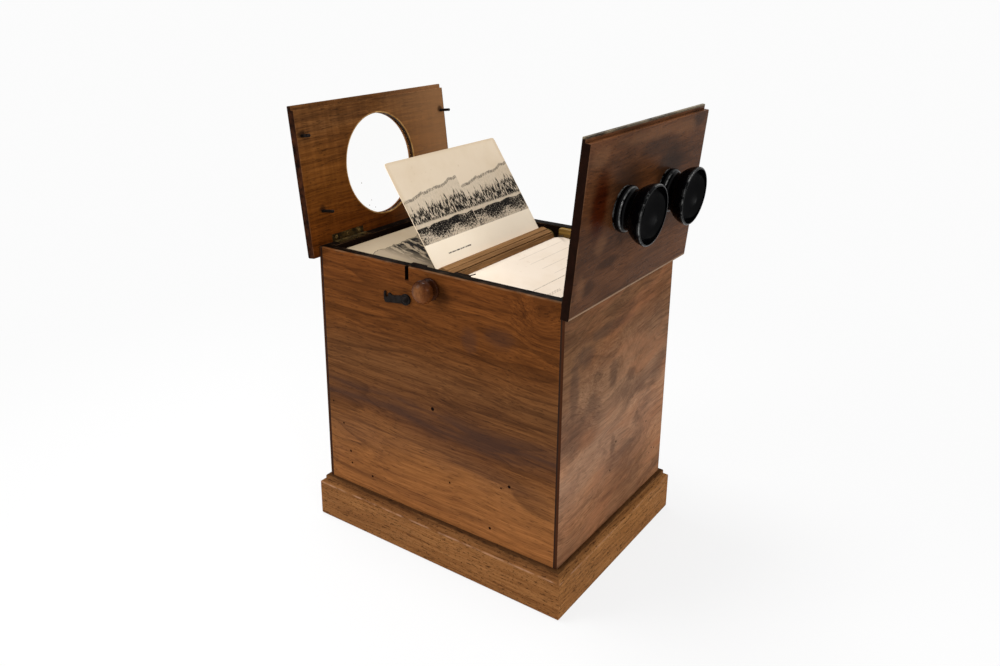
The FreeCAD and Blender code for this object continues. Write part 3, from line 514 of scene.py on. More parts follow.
# %% The end walls
END_HOLES = ((-0.3, 101, 0.7), (-8, 80, 0.6), (52, 96, 0.5), (66, 66, 0.5), (71, 64, 0.5),
             (62, 63, 0.4))
END_BLOTS = ((-10, 162, 7, 16), (-40, 149, 14, 8), (-6, 98, 5, 12), (-52, 190, 14, 10),
             (20, 150, 10, 7), (-68, 168, 8, 26), (-20, 200, 40, 6))
END_TONES = ((40, 1.18, 1.22, 1.25), (60, 1.42, 1.55, 1.65), (105, 1.95, 2.3, 2.8),
             (150, 1.12, 1.28, 1.5), (195, 0.76, 0.78, 0.77), (237, 0.6, 0.6, 0.57))
WISP, GREY_BLOT, REDDER = paint(158, 108, 76), paint(66, 50, 43), (1.25, 0.95, 0.75, 1)
END_GRAIN, END_FACE = (83.5 * MM, 83.9 * MM), (107.5 * MM, 108.5 * MM)
INNER_STRIP, OUTER_STRIP = paint(34, 26, 22), paint(58, 32, 18)
END_WALL_INSIDE = 102 * MM, 103 * MM


def end_extra(place, colour):
    """An end wall: wisps, grey blots, end grain at both edges, dark inside."""
    uneven = bent_grain(place, -90.0, 0.06, 5.0)
    colour = by_height(uneven, colour, END_TONES)
    colour = lay(colour, WISP, patches(uneven, 70.0, 0.5, 0.72, 4.0, 0.65, (0.16, 1, 1)), 0.55)
    soft = patches(uneven, 34.0, 0.5, 0.68, 4.0, 0.65, (0.35, 1, 1), (3, 1, 2))
    darkening = most(times(soft, 0.5), times(blots(place, END_BLOTS, 1.4), 0.5))
    colour = mix(darkening, colour, GREY_BLOT)
    warm = patches(uneven, 22.0, 0.45, 0.65, 4.0, 0.6, (0.4, 1, 1), (1, 4, 2))
    colour = lay(colour, tint(colour, REDDER), warm, 0.35)
    colour = worm_holes(place, colour, END_HOLES)
    where = own_place()
    out = calc("ABSOLUTE", along(where, "X"))
    strip = mix(spread(out, *END_FACE), INNER_STRIP, OUTER_STRIP)
    edge = spread(calc("ABSOLUTE", along(where, "Y")), *END_GRAIN)
    return stained_top(place, inside_dark(mix(edge, colour, strip), "X", *END_WALL_INSIDE))


END_WOODS = (142, 102, 72), (126, 88, 61), (98, 66, 45)
dress(walnut("end_walnut", CROSSWISE, END_WOODS, slope=-40.0, sway=0.05, bands=0.5, lines=0.4,
             cloud=0.5, pores=0.3, seed=2.0, knot=(-12, 158, 50, 18), extra=end_extra),
      "left_end_board", "right_end_board")
print("the ends are dressed, with", len(END_HOLES), "worm holes")

# %% [markdown]
# ## The plinth and the hidden joinery
#
# The skirt round the foot is cut from plainer stuff: even brown, full of short pores. Painted
# shade darkens its moulding towards the top, a painted shadow line marks the joint above it, and
# a painted highlight runs along the moulding's lower edge. The bottom board, the glue blocks and
# the rear fork for the axle were never polished. The front fork was stained as black as the
# wall's top, beside which it shows.

# %% Plinth, bottom and blocks
MOULDING_SHADE, SPECK, SKIRT_HIGHLIGHT = paint(56, 32, 18), paint(44, 24, 13), paint(168, 128, 100)
MOULDING_SHADE_BAND, JOINT_SHADE_BAND, UNEVEN_BY = (30.5 * MM, 33 * MM), (35.2 * MM, 36.5 * MM), 3 * MM
SKIRT_HIGHLIGHT_BAND = 30.5 * MM, 0.3 * MM, 0.6 * MM


def plinth_extra(place, colour):
    """Painted shade in the moulding and its joint, dark specks and a painted highlight below."""
    up = along(place, "Z")
    jitter = times(calc("SUBTRACT", noise(place, 120.0), 0.5), UNEVEN_BY)
    uneven = calc("ADD", up, jitter)
    # painted shade in the moulding, deepest towards its top
    colour = lay(colour, MOULDING_SHADE, spread(uneven, *MOULDING_SHADE_BAND), 0.4)
    # a painted shadow line where the moulding meets the body
    colour = lay(colour, STAIN_AND_SHADE, spread(uneven, *JOINT_SHADE_BAND), 0.6)
    specks = patches(place, 1100.0, 0.58, 0.72, 2.0, 0.5, (0.45, 0.45, 1))
    colour = lay(colour, SPECK, specks, 0.75)
    # a painted highlight, broken by noise, along the moulding's lower edge
    belt = near(up, *SKIRT_HIGHLIGHT_BAND, soft=True)
    return lay(colour, SKIRT_HIGHLIGHT, times(belt, patches(place, 90.0, 0.4, 0.6)), 0.6)


PLINTH_WOODS = (142, 98, 58), (124, 82, 46), (96, 60, 32)
PLINTH_END_WOODS = (170, 120, 72), (154, 105, 60), (128, 84, 46)
PLINTH_LOOK = dict(sway=0.008, lines=0.15, cloud=0.2, pores=0.7, rough=0.55, extra=plinth_extra)
dress(walnut("plinth_walnut", LENGTHWISE, PLINTH_WOODS, seed=5.0, **PLINTH_LOOK),
      "plinth_front", "plinth_back")
dress(walnut("plinth_end_walnut", CROSSWISE, PLINTH_END_WOODS, seed=6.0, **PLINTH_LOOK),
      "plinth_left", "plinth_right")
RAW_WOODS = (150, 112, 72), (128, 92, 56), (92, 62, 36)
dress(walnut("raw_walnut", LENGTHWISE, RAW_WOODS, rough=0.7, seed=7.0),
      "bottom_board", "corner_blocks")
BLOCK_WOODS = (150, 116, 52), (128, 98, 42), (84, 62, 28)
dress(walnut("block_wood", LENGTHWISE, BLOCK_WOODS, rough=0.55, shine=0.2, seed=13.0),
      "bearing_block_rear")
DARK_WOODS = (26, 16, 10), (20, 12, 8), (10, 6, 4)
dress(walnut("dark_block_wood", LENGTHWISE, DARK_WOODS, rough=0.6, seed=14.0),
      "bearing_block_front")
print("the foot is dressed")

# %% [markdown]
# ## The lids
#
# Each lid is one thin board with its grain along the hinge. The window lid shows its inner
# face to the camera, golden in the middle, browner near its free edge and nearly red at the
# hinge, with iron stain and a painted shadow at the root of each guide pin. The eyepiece lid
# shows its outer face, which is browner, with a dark red patch, dirt, and painted shade round
# each eyepiece. A painted sheen makes it lighter and greyer near its free edge and its hinge,
# and lies on it in a few pale spots. Both lids have a black stained edge, rubbed pale in
# places, and grey scuffs with a painted sheen along the lip of the free edge.

# %% The edges of a lid
LID_HALF_WIDE = 0.0905
LID_RUBBED = LID_HALF_WIDE - 1.2 * MM, LID_HALF_WIDE - 0.7 * MM
LID_SIDE = LID_HALF_WIDE - 0.5 * MM, LID_HALF_WIDE - 0.1 * MM
LID_LIP = 109.9 * MM, 110.2 * MM
EDGE_STAIN, EDGE_RUBBED, GREY_SCUFF_AND_SHEEN = paint(20, 9, 5), paint(128, 92, 66), paint(112, 100, 80)


def lid_edges(place, colour, worn_stain):
    """A dark stained edge, a pale rubbed line on the corner beside it, and a grey lip with painted
    sheen.
    """
    across = calc("ABSOLUTE", along(place, "X"))
    pale_edge_line = times(spread(across, *LID_RUBBED), patches(place, 90.0, 0.42, 0.62, 4.0, 0.6))
    colour = lay(colour, EDGE_RUBBED, pale_edge_line, 0.5)
    darkening = ramp(noise(place, 150.0, 3.0, 0.6), (0.35, EDGE_STAIN), (0.75, worn_stain))
    colour = mix(spread(across, *LID_SIDE), colour, darkening)
    # grey scuffs and a painted sheen along the lip of the free edge
    scuffs_and_sheen = noise(place, 200.0, 4.0, 0.7, (0.2, 1, 1))
    lip = spread(calc("ABSOLUTE", along(place, "Z")), *LID_LIP)
    return mix(lip, colour, ramp(scuffs_and_sheen, (0.35, EDGE_STAIN), (0.6, GREY_SCUFF_AND_SHEEN)))


print("a lid's lip starts", round(LID_LIP[0] / MM, 1), "mm from its hinge")

# %% The window lid
PIN_ROOT_SPOTS = ((-84.7, 87.9, 4.5, 3.5), (-73.8, 28.9, 4, 3), (84.5, 88.5, 4, 3))
LEFT_TONES = ((-5, 0.72, 0.5, 0.3), (12, 0.95, 0.72, 0.45), (45, 1.15, 1.05, 0.8),
              (75, 1.4, 1.4, 1.4), (92, 1.35, 1.5, 2.0), (112, 1.2, 1.36, 1.9))
GREY_BROWN, SUNNED, PIN_STAIN_AND_SHADOW = paint(56, 34, 20), paint(158, 116, 80), paint(34, 20, 12)
LEFT_WORN_STAIN = paint(66, 36, 20)
STREAKED, SUNNY_SIDE = (50 * MM, 100 * MM), (0.0, 80 * MM)


def left_lid_extra(place, colour):
    """The window lid: red near its hinge, grey brown streaks, stain and painted shadow at its
    pins.
    """
    uneven = bent_grain(place, 0.0, 0.02, 2.0)
    colour = by_height(uneven, colour, LEFT_TONES)
    free = spread(along(uneven, "Z"), *STREAKED, soft=True)
    streaks = patches(uneven, 240.0, 0.45, 0.65, 4.0, 0.65, (0.07, 1, 1))
    colour = mix(times(calc("MULTIPLY_ADD", free, 0.45, 0.1), streaks), colour, GREY_BROWN)
    ripple = noise(place, 300.0, 2.0, 0.5, (1, 1, 0.12), (0, 2, 0))
    colour = tint(colour, ramp(ripple, (0.35, (0.88, 0.87, 0.86, 1)), (0.65, (1.1, 1.1, 1.1, 1))))
    colour = lay(colour, SUNNED, spread(along(place, "X"), *SUNNY_SIDE), 0.65)
    # iron stain with a painted shadow at the root of each guide pin
    colour = lay(colour, PIN_STAIN_AND_SHADOW, blots(place, PIN_ROOT_SPOTS, 0.6), 0.75)
    return lid_edges(place, colour, LEFT_WORN_STAIN)


LEFT_WOODS = (118, 74, 34), (101, 61, 26), (74, 42, 17)
dress(walnut("left_lid_walnut", LEFT_LID, LEFT_WOODS, cloud=0.2, seed=8.0, extra=left_lid_extra),
      "left_lid_board")
print("the window lid is dressed")

# %% The eyepiece lid
DARK_RED_PATCH = ((-68, -66, 13, 26),)
# spots of dirt, and painted shade in the two wide spots round the eyepieces
RIGHT_DIRT_AND_SHADE = ((-33, -70, 26, 26), (33, -72, 26, 26), (-70, -10, 12, 8), (10, -92, 40, 9),
               (76, -104, 14, 8), (-46, -22, 20, 5))
# pale spots of painted sheen, as (along, up, half wide, half high) in millimetres
RIGHT_SHEEN_SPOTS = ((-74, -97, 16, 8), (0, -102, 60, 5), (-80, -12, 8, 10), (-60, -36, 10, 8),
              (50, -100, 20, 6))
# lighter and greyer towards the free edge and the hinge: a painted sheen
RIGHT_TONES_AND_SHEEN = ((-112, 1.45, 1.38, 1.25), (-98, 1.22, 1.17, 1.05), (-60, 0.95, 0.85, 0.7),
               (-30, 1.05, 1.03, 0.98), (6, 1.25, 1.26, 1.24))
DIRT_AND_SHADE, PAINTED_SHEEN, TAIL_LINE = paint(36, 22, 13), paint(132, 92, 62), paint(150, 122, 96)
DEEP_RED, RIGHT_WORN_STAIN = (0.4, 0.13, 0.02, 1), paint(30, 14, 8)
TAIL_EDGE = 5.2 * MM, 5.8 * MM


def right_lid_extra(place, colour):
    """The eyepiece lid: grey brown clouds, dirt, a dark red patch, painted shade and sheen."""
    # painted sheen: lighter and greyer towards both edges, darker between
    colour = by_height(bent_grain(place, 0.0, 0.04, 4.0), colour, RIGHT_TONES_AND_SHEEN)
    # clouds and spots of dirt, and painted shade round the two eyepieces
    cloud = patches(place, 16.0, 0.46, 0.68, 4.0, 0.65, (0.6, 1, 1), (1, 5, 2))
    darkening = most(times(cloud, 0.35), times(blots(place, RIGHT_DIRT_AND_SHADE, 0.8), 0.6))
    colour = mix(darkening, colour, DIRT_AND_SHADE)
    # painted sheen in soft pale spots
    colour = lay(colour, PAINTED_SHEEN, blots(place, RIGHT_SHEEN_SPOTS, 1.4), 0.28)
    # a dark red patch beside the near eyepiece
    colour = lay(colour, tint(colour, DEEP_RED), blots(place, DARK_RED_PATCH, 0.5), 0.9)
    colour = lay(colour, TAIL_LINE, spread(along(place, "Z"), *TAIL_EDGE), 0.8)
    return lid_edges(place, colour, RIGHT_WORN_STAIN)


RIGHT_WOODS = (96, 62, 40), (80, 50, 31), (58, 35, 20)
dress(walnut("right_lid_walnut", RIGHT_LID, RIGHT_WOODS, slope=40.0, sway=0.03, bands=0.5,
             shine=0.015, rough=0.3, seed=9.0, extra=right_lid_extra), "right_lid_board")
print("the eyepiece lid is dressed")

# %% [markdown]
# ## The wheel's wood
#
# The wheel's core and slats are plain light wood. The knob is turned from a reddish fruitwood,
# with a painted highlight on its crown and painted shade round its neck.

# %% Slats and knob
SLAT_WOODS = (158, 120, 80), (138, 102, 66), (104, 74, 46)
dress(walnut("slat_wood", CROSSWISE, SLAT_WOODS, sway=0.004, bands=0.5, lines=0.1, cloud=0.1,
             pores=0.2, rough=0.55, seed=11.0),
      "wheel_core", *[f"card_slat_{n}" for n in range(1, 8)])
KNOB_LOW, KNOB_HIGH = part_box("turning_knob")
KNOB_X, KNOB_Y, KNOB_Z = [(low + high) / 2 for low, high in zip(KNOB_LOW, KNOB_HIGH)]
CROWN, NECK = (8.5 * MM, 1 * MM), (KNOB_Y - 2 * MM, KNOB_Y + 3 * MM)
CROWN_HIGHLIGHT, NECK_SHADE = paint(150, 98, 58), paint(30, 11, 4)


def knob_extra(place, colour):
    """The knob: a painted highlight on its crown, and painted shade round its neck."""
    where = own_place()
    away = vector("DISTANCE", vector("MULTIPLY", where, FACE_ONLY), (KNOB_X, 0, KNOB_Z))
    # a painted highlight on the crown, pale and broken up by noise
    patchy = patches(where, 170.0, 0.4, 0.65, 3.0, 0.6, (1, 1, 0.4))
    crown_highlight = times(spread(away, *CROWN, soft=True), patchy)
    colour = lay(colour, CROWN_HIGHLIGHT, crown_highlight, 0.5)
    # painted shade round the neck, between the knob and the board
    return lay(colour, NECK_SHADE, spread(along(where, "Y"), *NECK), 0.75)


KNOB_WOODS = (104, 58, 26), (72, 37, 14), (38, 17, 6)
dress(walnut("knob_wood", CROSSWISE, KNOB_WOODS, bands=0.8, lines=0.1, pores=0.0, rough=0.18,
             shine=0.04, seed=12.0, extra=knob_extra), "turning_knob")
print("the knob's axis is", round(KNOB_Z / MM, 1), "mm up")

# %% [markdown]
# ## Brass, iron and steel
#
# Old brass is dull brown gold with brighter rubbed spots. Nearly all of a metal's look comes
# from its roughness, which changes here from place to place. Wrought iron is nearly black. Its
# skin is scale and rust more than bare metal, so it is only a quarter metal.

# %% Metal finishes
DULL_SHARE, FINER, SPECK_DARK, SPECK_LIGHT = 0.5, 9, (0.5, 0.5, 0.5, 1), (1.2, 1.2, 1.2, 1)
LOW_SPECULAR = 0.05


def metal(name, clean, tarnish, rough_low, rough_high, size, metallic=1.0, depth=0.2 * MM):
    """A metal that is clean in places and tarnished in others."""
    made, surface = finish_with(name, LOW_SPECULAR, Metallic=metallic)
    place = own_place()
    tarnished = patches(place, size, 0.36, 0.64, 4.0, 0.6)
    fine = noise(place, size * FINER, 3.0, 0.6)
    speckled = ramp(fine, (0.3, SPECK_DARK), (0.7, SPECK_LIGHT))
    colour = mix(DULL_SHARE, mix(tarnished, paint(*clean), paint(*tarnish)), speckled, "MULTIPLY")
    wire(colour, surface["Base Color"])
    wire(spread(tarnished, 0.0, 1.0, rough_low, rough_high), surface["Roughness"])
    roughen(surface, fine, 0.3, depth)
    return made


hinge_metal = [name for name in nodes if "hinge" in name and "screws" not in name]
dress(metal("aged_brass", (112, 92, 50), (46, 36, 20), 0.3, 0.55, 160.0),
      "eyepiece_lens_rings", *hinge_metal)
dress(metal("screw_brass", (210, 184, 120), (96, 76, 42), 0.2, 0.4, 300.0),
      *[name for name in nodes if "hinge" in name and "screws" in name])
dress(metal("disc_brass", (170, 150, 84), (92, 84, 46), 0.3, 0.5, 90.0),
      "wheel_disc_front", "wheel_disc_rear", "axle_bush_front", "axle_bush_rear")
dress(metal("dark_iron", (30, 26, 24), (20, 13, 10), 0.35, 0.6, 220.0, 0.25, 0.4 * MM),
      "latch_hook", "hook_screw", "lid_guide_pins", "lid_catch_pin", "card_clips",
      "standing_card_clips")
dress(metal("old_steel", (90, 84, 76), (48, 42, 36), 0.3, 0.5, 300.0), "wheel_axle")
print("the metals are dressed, brass on", len(hinge_metal), "hinge pieces")

# %% The ring round the window
RING_WALL = 1.9 * MM, 2.2 * MM
GILT = (0.35, paint(146, 100, 46)), (0.7, paint(206, 164, 104))
GILT_SHADED = (0.35, paint(28, 16, 8)), (0.7, paint(66, 42, 20))

# a gilt lip stands on the lid, with a brown inner wall in the shade below it
gilt_ring, surface = finish_with("gilt_ring", LOW_SPECULAR, Roughness=0.45)
place = in_board(LEFT_LID)
worn = noise(place, 220.0, 4.0, 0.6)
inner_wall = spread(along(place, "Y"), *RING_WALL)
wire(mix(inner_wall, ramp(worn, *GILT), ramp(worn, *GILT_SHADED)), surface["Base Color"])
dress(gilt_ring, "window_ring")
print("the window ring is gilt")

# %% [markdown]
# ## Black eyepieces and glass
#
# The eyepieces are turned from hard wood and lacquered black. Their rims and feet carry
# painted glints, a thin broken grey line. The dish inside each rim is duller than the rest, so
# that a lamp shows in it as a soft sheen and not as a spot. The window is clear glass with a
# few specks on its inner face. The small eye lenses are dull, and their dark tint is painted
# shade that stands for the box behind them.

# %% Black lacquer
# distances from each eyepiece's axis, and heights above the hinge of the closed lid
EYE_APART, EYE_OUT, EYE_RIM, EYE_FOOT = 33 * MM, 56.9 * MM, 20.6 * MM, 15.3 * MM
RIM_UP, FOOT_DOWN, GLINT_LINE = (27.5 * MM, 28.5 * MM), (15 * MM, 13 * MM), (0.1 * MM, 0.3 * MM)
DISH_WIDE, DISH_HIGH = (18.5 * MM, 17.5 * MM), (16 * MM, 18 * MM)
GLOSS, DISH_DULLER = (0.04, 0.18), 0.28
LACQUER, LACQUER_DUST, LACQUER_GLINT = paint(2, 2, 3), paint(14, 13, 13), paint(140, 140, 138)

lacquer, surface = finish_with("black_lacquer", 0.06)
place = in_board(RIGHT_LID)
side = calc("SUBTRACT", calc("ABSOLUTE", along(place, "X")), EYE_APART)
out = calc("ADD", along(place, "Z"), EYE_OUT)
away = vector("LENGTH", add("CombineXYZ", {"X": side, "Z": out}).outputs[0])
high = along(place, "Y")
# painted glints: a thin broken pale line on each rim and foot
rim = times(near(away, EYE_RIM, *GLINT_LINE), spread(high, *RIM_UP))
foot = times(near(away, EYE_FOOT, *GLINT_LINE), spread(high, *FOOT_DOWN))
pale_edge_line = times(most(rim, foot), patches(place, 120.0, 0.45, 0.62, 4.0, 0.7))
black = mix(patches(place, 70.0, 0.55, 0.8, 5.0, 0.65), LACQUER, LACQUER_DUST)
wire(lay(black, LACQUER_GLINT, pale_edge_line, 0.7), surface["Base Color"])
gloss = spread(noise(place, 300.0, 4.0, 0.7), 0.3, 0.7, *GLOSS)
dish = times(spread(away, *DISH_WIDE), spread(high, *DISH_HIGH))
wire(calc("MULTIPLY_ADD", dish, DISH_DULLER, gloss), surface["Roughness"])
roughen(surface, noise(place, 200.0), 0.15, 0.3 * MM)
dress(lacquer, "eyepiece_front", "eyepiece_rear")
print("the eyepieces are lacquered, their axes", round(2 * EYE_APART / MM), "mm apart")

# %% Glass
SPECKS = ((-24.5, 40.4, 0.6, 0.7), (-15.3, 24.5, 0.5, 0.5), (-18.5, 20.8, 0.7, 0.6),
          (-11.6, 17.8, 0.5, 0.5), (-21, 19, 0.3, 0.4), (-14, 16, 0.3, 0.3))
INNER_FACE, CLEAR, SPECK_BROWN = (4.8 * MM, 4.6 * MM), (0.99, 0.99, 0.985, 1), paint(90, 80, 68)
HAZE = (0.3, (0.01, 0.012, 0.012, 1)), (0.7, (0.05, 0.055, 0.05, 1))

# the window bends light so little that its middle stays clear
window_glass, surface = finish_with("window_glass", clear=1.0, Roughness=0.0, IOR=1.04)
place = in_board(LEFT_LID)
specks = times(blots(place, SPECKS, 0.5), spread(along(place, "Y"), *INNER_FACE))
wire(mix(specks, CLEAR, SPECK_BROWN), surface["Base Color"])
dress(window_glass, "window_lens")

# the eye lenses are thick and hazy, and their dark tint is painted shade for the box behind them
eye_glass, surface = finish_with("eye_glass", 0.04, clear=0.6, Roughness=0.35)
wire(ramp(noise(own_place(), 90.0, 4.0), *HAZE), surface["Base Color"])
dress(eye_glass, "eyepiece_lens_front", "eyepiece_lens_rear")
print("the glass is in, with", len(SPECKS), "specks")

# %% [markdown]
# ## Paper
#
# A postcard is cream card, yellower at its rims, with soft worn corners. These are new
# pieces, because a card is nearly all surface: its print has to follow the card itself, so
# each one has its own map, from 0 to 1 across and up.

# %% Paper finishes
CREAM, WARM_RIM, FOXING = paint(246, 228, 202), paint(222, 196, 158), paint(200, 168, 126)
PAPER_RIM, RIM_UNEVEN = (0.05, 0.02), 0.04


def paper():
    """Cream card with yellowed rims and faint brown flecks, and the card's own map."""
    card_map = add("UVMap", uv_map="card_map").outputs[0]
    place = own_place()
    u, v = (along(card_map, axis) for axis in "XY")
    to_rim = calc("MINIMUM", calc("MINIMUM", u, calc("SUBTRACT", 1.0, u)),
                  calc("MINIMUM", v, calc("SUBTRACT", 1.0, v)))
    mottle = noise(place, 30.0, 4.0, 0.6)
    rim = spread(calc("ADD", to_rim, times(mottle, RIM_UNEVEN)), *PAPER_RIM)
    colour = lay(CREAM, WARM_RIM, rim, 0.45)
    colour = lay(colour, WARM_RIM, spread(mottle, 0.45, 0.75), 0.3)
    colour = lay(colour, FOXING, patches(place, 260.0, 0.68, 0.78, 2.0), 0.35)
    return colour, u, v


def paper_finish(name, draw_on=None):
    """A paper material. draw_on adds the print to the paper's colour."""
    made, surface = finish_with(name, LOW_SPECULAR, Roughness=0.7)
    colour, u, v = paper()
    wire(draw_on(colour, u, v) if draw_on else colour, surface["Base Color"])
    roughen(surface, noise(own_place(), 1500.0), 0.15, 0.1 * MM)
    return made


print("paper is ready")

# %% [markdown]
# ## Prints
#
# The pictures are made up for this lesson. The standing card carries a pair of views, one
# scene twice, side by side: bushes on a bank, a pale hill with a dark ridge behind them and
# rough stones in front. Below runs a short broken line. The bushes are noise cut off above a
# line that climbs, and the stones are noise that grows denser towards the bank. The card on
# the left has a rocky slope, drawn in long slanting strokes. The card on the right shows its
# address side: a plaited band, a long broken line and faint ruled lines.

# %% Ink and a place to draw
INK, GREY_INK = paint(22, 20, 19), paint(110, 98, 84)


def on_card(u, v, across, up, start=0.0):
    """A flat place for noise, with its own scale across and up."""
    place = {"X": calc("MULTIPLY_ADD", u, across, start), "Y": calc("MULTIPLY", v, up)}
    return add("CombineXYZ", place).outputs[0]


def climbing(value, swing, foot, half, climb):
    """A wavy line whose height climbs from left to right."""
    return calc("ADD", calc("MULTIPLY_ADD", value, swing, foot), times(half, climb))


print("ink is mixed")

# %% The pair of views
SKY_TONE, BRIGHT_FOOT = (0.78, 0.77, 0.76, 1), paint(255, 243, 222)
# heights on the card, from 0 at its foot to 1 at its top
PICTURE, STONY, BANK = (0.25, 0.256), (0.25, 0.38), (0.425, 0.44)
HAIRLINE, VIEW_GAP, CAPTION_UP = 0.006, (0.499, 0.493), 0.13


def pair_of_views(colour, u, v):
    """The same bushes twice, side by side, with stones in front and a hill behind."""
    half = calc("FRACT", times(u, 2.0))
    picture = spread(v, *PICTURE)
    colour = mix(picture, mix(0.6, colour, BRIGHT_FOOT), tint(colour, SKY_TONE))

    crest = climbing(noise(on_card(half, v, 5.0, 0.0, 7.0), 1.0, 3.0, 0.6), 0.1, 0.6, half, 0.1)
    under_crest = calc("SUBTRACT", crest, v)
    drawn = noise(on_card(half, v, 70.0, 30.0, 3.0), 1.0, 3.0, 0.7)
    ridge = times(near(under_crest, 0.014, 0.01, HAIRLINE), spread(drawn, 0.42, 0.5, 0.3, 1.0))
    hill = times(spread(under_crest, 0.0, HAIRLINE), spread(drawn, 0.4, 0.7, 0.1, 0.3))

    tops = climbing(noise(on_card(half, v, 22.0, 0.0, 4.0), 1.0, 3.0, 0.7), 0.42, 0.33, half, 0.07)
    leaves = patches(on_card(half, v, 40.0, 18.0), 1.0, 0.42, 0.5, 4.0, 0.75)
    under_tops = spread(calc("SUBTRACT", tops, v), -0.01, 0.015)
    bushes = times(under_tops, spread(v, *BANK), leaves)

    stones = noise(on_card(half, v, 58.0, 60.0, 2.0), 1.0, 4.0, 0.75)
    drift = noise(on_card(half, v, 4.0, 10.0, 7.0), 1.0, 2.0)
    edge = climbing(drift, 0.06, 0.37, half, 0.02)
    rises = spread(v, *STONY, 0.1, 1.0)
    depth = calc("ADD", rises, spread(drift, 0.35, 0.65, -0.3, 0.4))
    field = times(spread(calc("ADD", stones, times(depth, 0.16)), 0.5, 0.62),
                  spread(calc("SUBTRACT", edge, v), 0.0, HAIRLINE))
    ink = times(most(bushes, times(ridge, 0.7), hill, field), picture)
    from_gap = calc("ABSOLUTE", calc("SUBTRACT", half, 0.5))
    ink = times(ink, spread(from_gap, *VIEW_GAP))

    dashes = patches(on_card(u, v, 130.0, 0.0, 1.0), 1.0, 0.42, 0.5, 1.0)
    caption = times(near(v, CAPTION_UP, 0.004, 0.003), near(u, 0.25, 0.1, 0.003), dashes)
    return mix(most(ink, caption), colour, INK)


views_paper = paper_finish("paired_views_paper", pair_of_views)
print("the pair of views is drawn")

# %% The rocky slope
DUSK_TONE, CARD_SHAPE = (0.42, 0.4, 0.36, 1), 0.64
# each layer of strokes: its slant in degrees, how many strokes, how long
STROKES = ((-84, 20.0, 0.16), (-68, 32.0, 0.22))


def mountain(colour, u, v):
    """A rocky slope in long slanting strokes under a dull sky."""
    colour = tint(colour, DUSK_TONE)
    flat = on_card(u, v, 1.0, CARD_SHAPE)
    strokes = 0.0
    for slant, size, long in STROKES:
        turned = add("VectorRotate", {"Vector": flat, "Angle": math.radians(slant)},
                     rotation_type="Z_AXIS").outputs[0]
        strokes = most(strokes, patches(turned, size, 0.48, 0.515, 4.0, 0.7, (long, 1.2, 1)))
    lit = spread(noise(flat, 16.0, 3.0, 0.6), 0.3, 0.5, 0.55, 1.0)
    skyline = noise(on_card(u, v, 5.0, 0.0, 3.0), 1.0, 3.0, 0.65)
    below = calc("SUBTRACT", climbing(skyline, 0.3, 0.6, u, 0.12), v)
    land = spread(below, 0.0, 0.02)
    rocks = times(strokes, lit, land, spread(u, 0.12, 0.26, 0.2, 1.0))
    ink = most(rocks, times(land, 0.22), times(near(below, HAIRLINE, 0.003, 0.004), 0.7))
    return mix(ink, colour, INK)


mountain_paper = paper_finish("mountain_paper", mountain)
print("the rocky slope is drawn")

# %% The address side
PLAIT_UP, PLAIT_SWING, PLAIT_WAVES, LINE_UP, RULES = 0.735, 0.012, 130.0, 0.61, 8.5
COOLER = (0.81, 0.83, 0.9, 1)


def address_side(colour, u, v):
    """A card's back: a plaited band, a thin broken line and faint ruled lines."""
    wave = calc("SINE", times(u, PLAIT_WAVES))
    plait = 0.0
    for swing in (PLAIT_SWING, -PLAIT_SWING):
        from_strand = calc("SUBTRACT", v, calc("MULTIPLY_ADD", wave, swing, PLAIT_UP))
        plait = most(plait, near(from_strand, 0.0, 0.0025, 0.003))
    plait = times(plait, near(u, 0.22, 0.1, 0.004))
    broken = patches(on_card(u, v, 110.0, 0.0), 1.0, 0.4, 0.48, 2.0)
    line = times(near(v, LINE_UP, 0.0025, 0.003), near(u, 0.4, 0.33, 0.004), broken)
    ruled = calc("FRACT", times(v, RULES))
    faint = times(near(ruled, 0.5, 0.018, 0.02), near(u, 0.7, 0.22, 0.01),
                  near(v, 0.34, 0.22, 0.005))
    ink = most(times(plait, 0.55), times(line, 0.8), times(faint, 0.35))
    worn = spread(noise(on_card(u, v, 40.0, 30.0), 1.0, 3.0, 0.6), 0.3, 0.6, 0.5, 1.0)
    return mix(times(ink, worn), tint(colour, COOLER), GREY_INK)


address_paper = paper_finish("address_paper", address_side)
edge_paper = paper_finish("edge_paper")
print("three prints are ready")

# %% [markdown]
# ## Bending a card
#
# Each card starts as a flat grid, 140 by 90 millimetres. Its four corners are nipped in,
# because old cards have soft corners. Then the card is bent as fingers would bend it: all
# that lies above a row is turned a little about that row. Solidify gives the card its
# thickness, with the picture in front and the address side behind. At last the whole card is
# carried to its slat on the wheel.

# %% Two helpers for the hand
def only(thing):
    """Select one object and nothing else."""
    bpy.ops.object.select_all(action="DESELECT")
    thing.select_set(True)
    bpy.context.view_layer.objects.active = thing


def pick(thing, wanted):
    """In edit mode, select the vertices that pass a test, and what lies between them."""
    bpy.ops.object.mode_set(mode="OBJECT")
    mesh = thing.data
    chosen = [wanted(vert) for vert in mesh.vertices]
    mesh.vertices.foreach_set("select", chosen)
    for parts in (mesh.edges, mesh.polygons):
        parts.foreach_set("select", [all(chosen[n] for n in part.vertices) for part in parts])
    bpy.ops.object.mode_set(mode="EDIT")


print("two helpers are ready")

# %% A flat card
CARD_LONG, CARD_HIGH, CARD_THICK = 0.140, 0.090, 0.00044
ROWS, COLUMNS = 30, 46
ROW = CARD_HIGH / ROWS
NIP = 0.0005


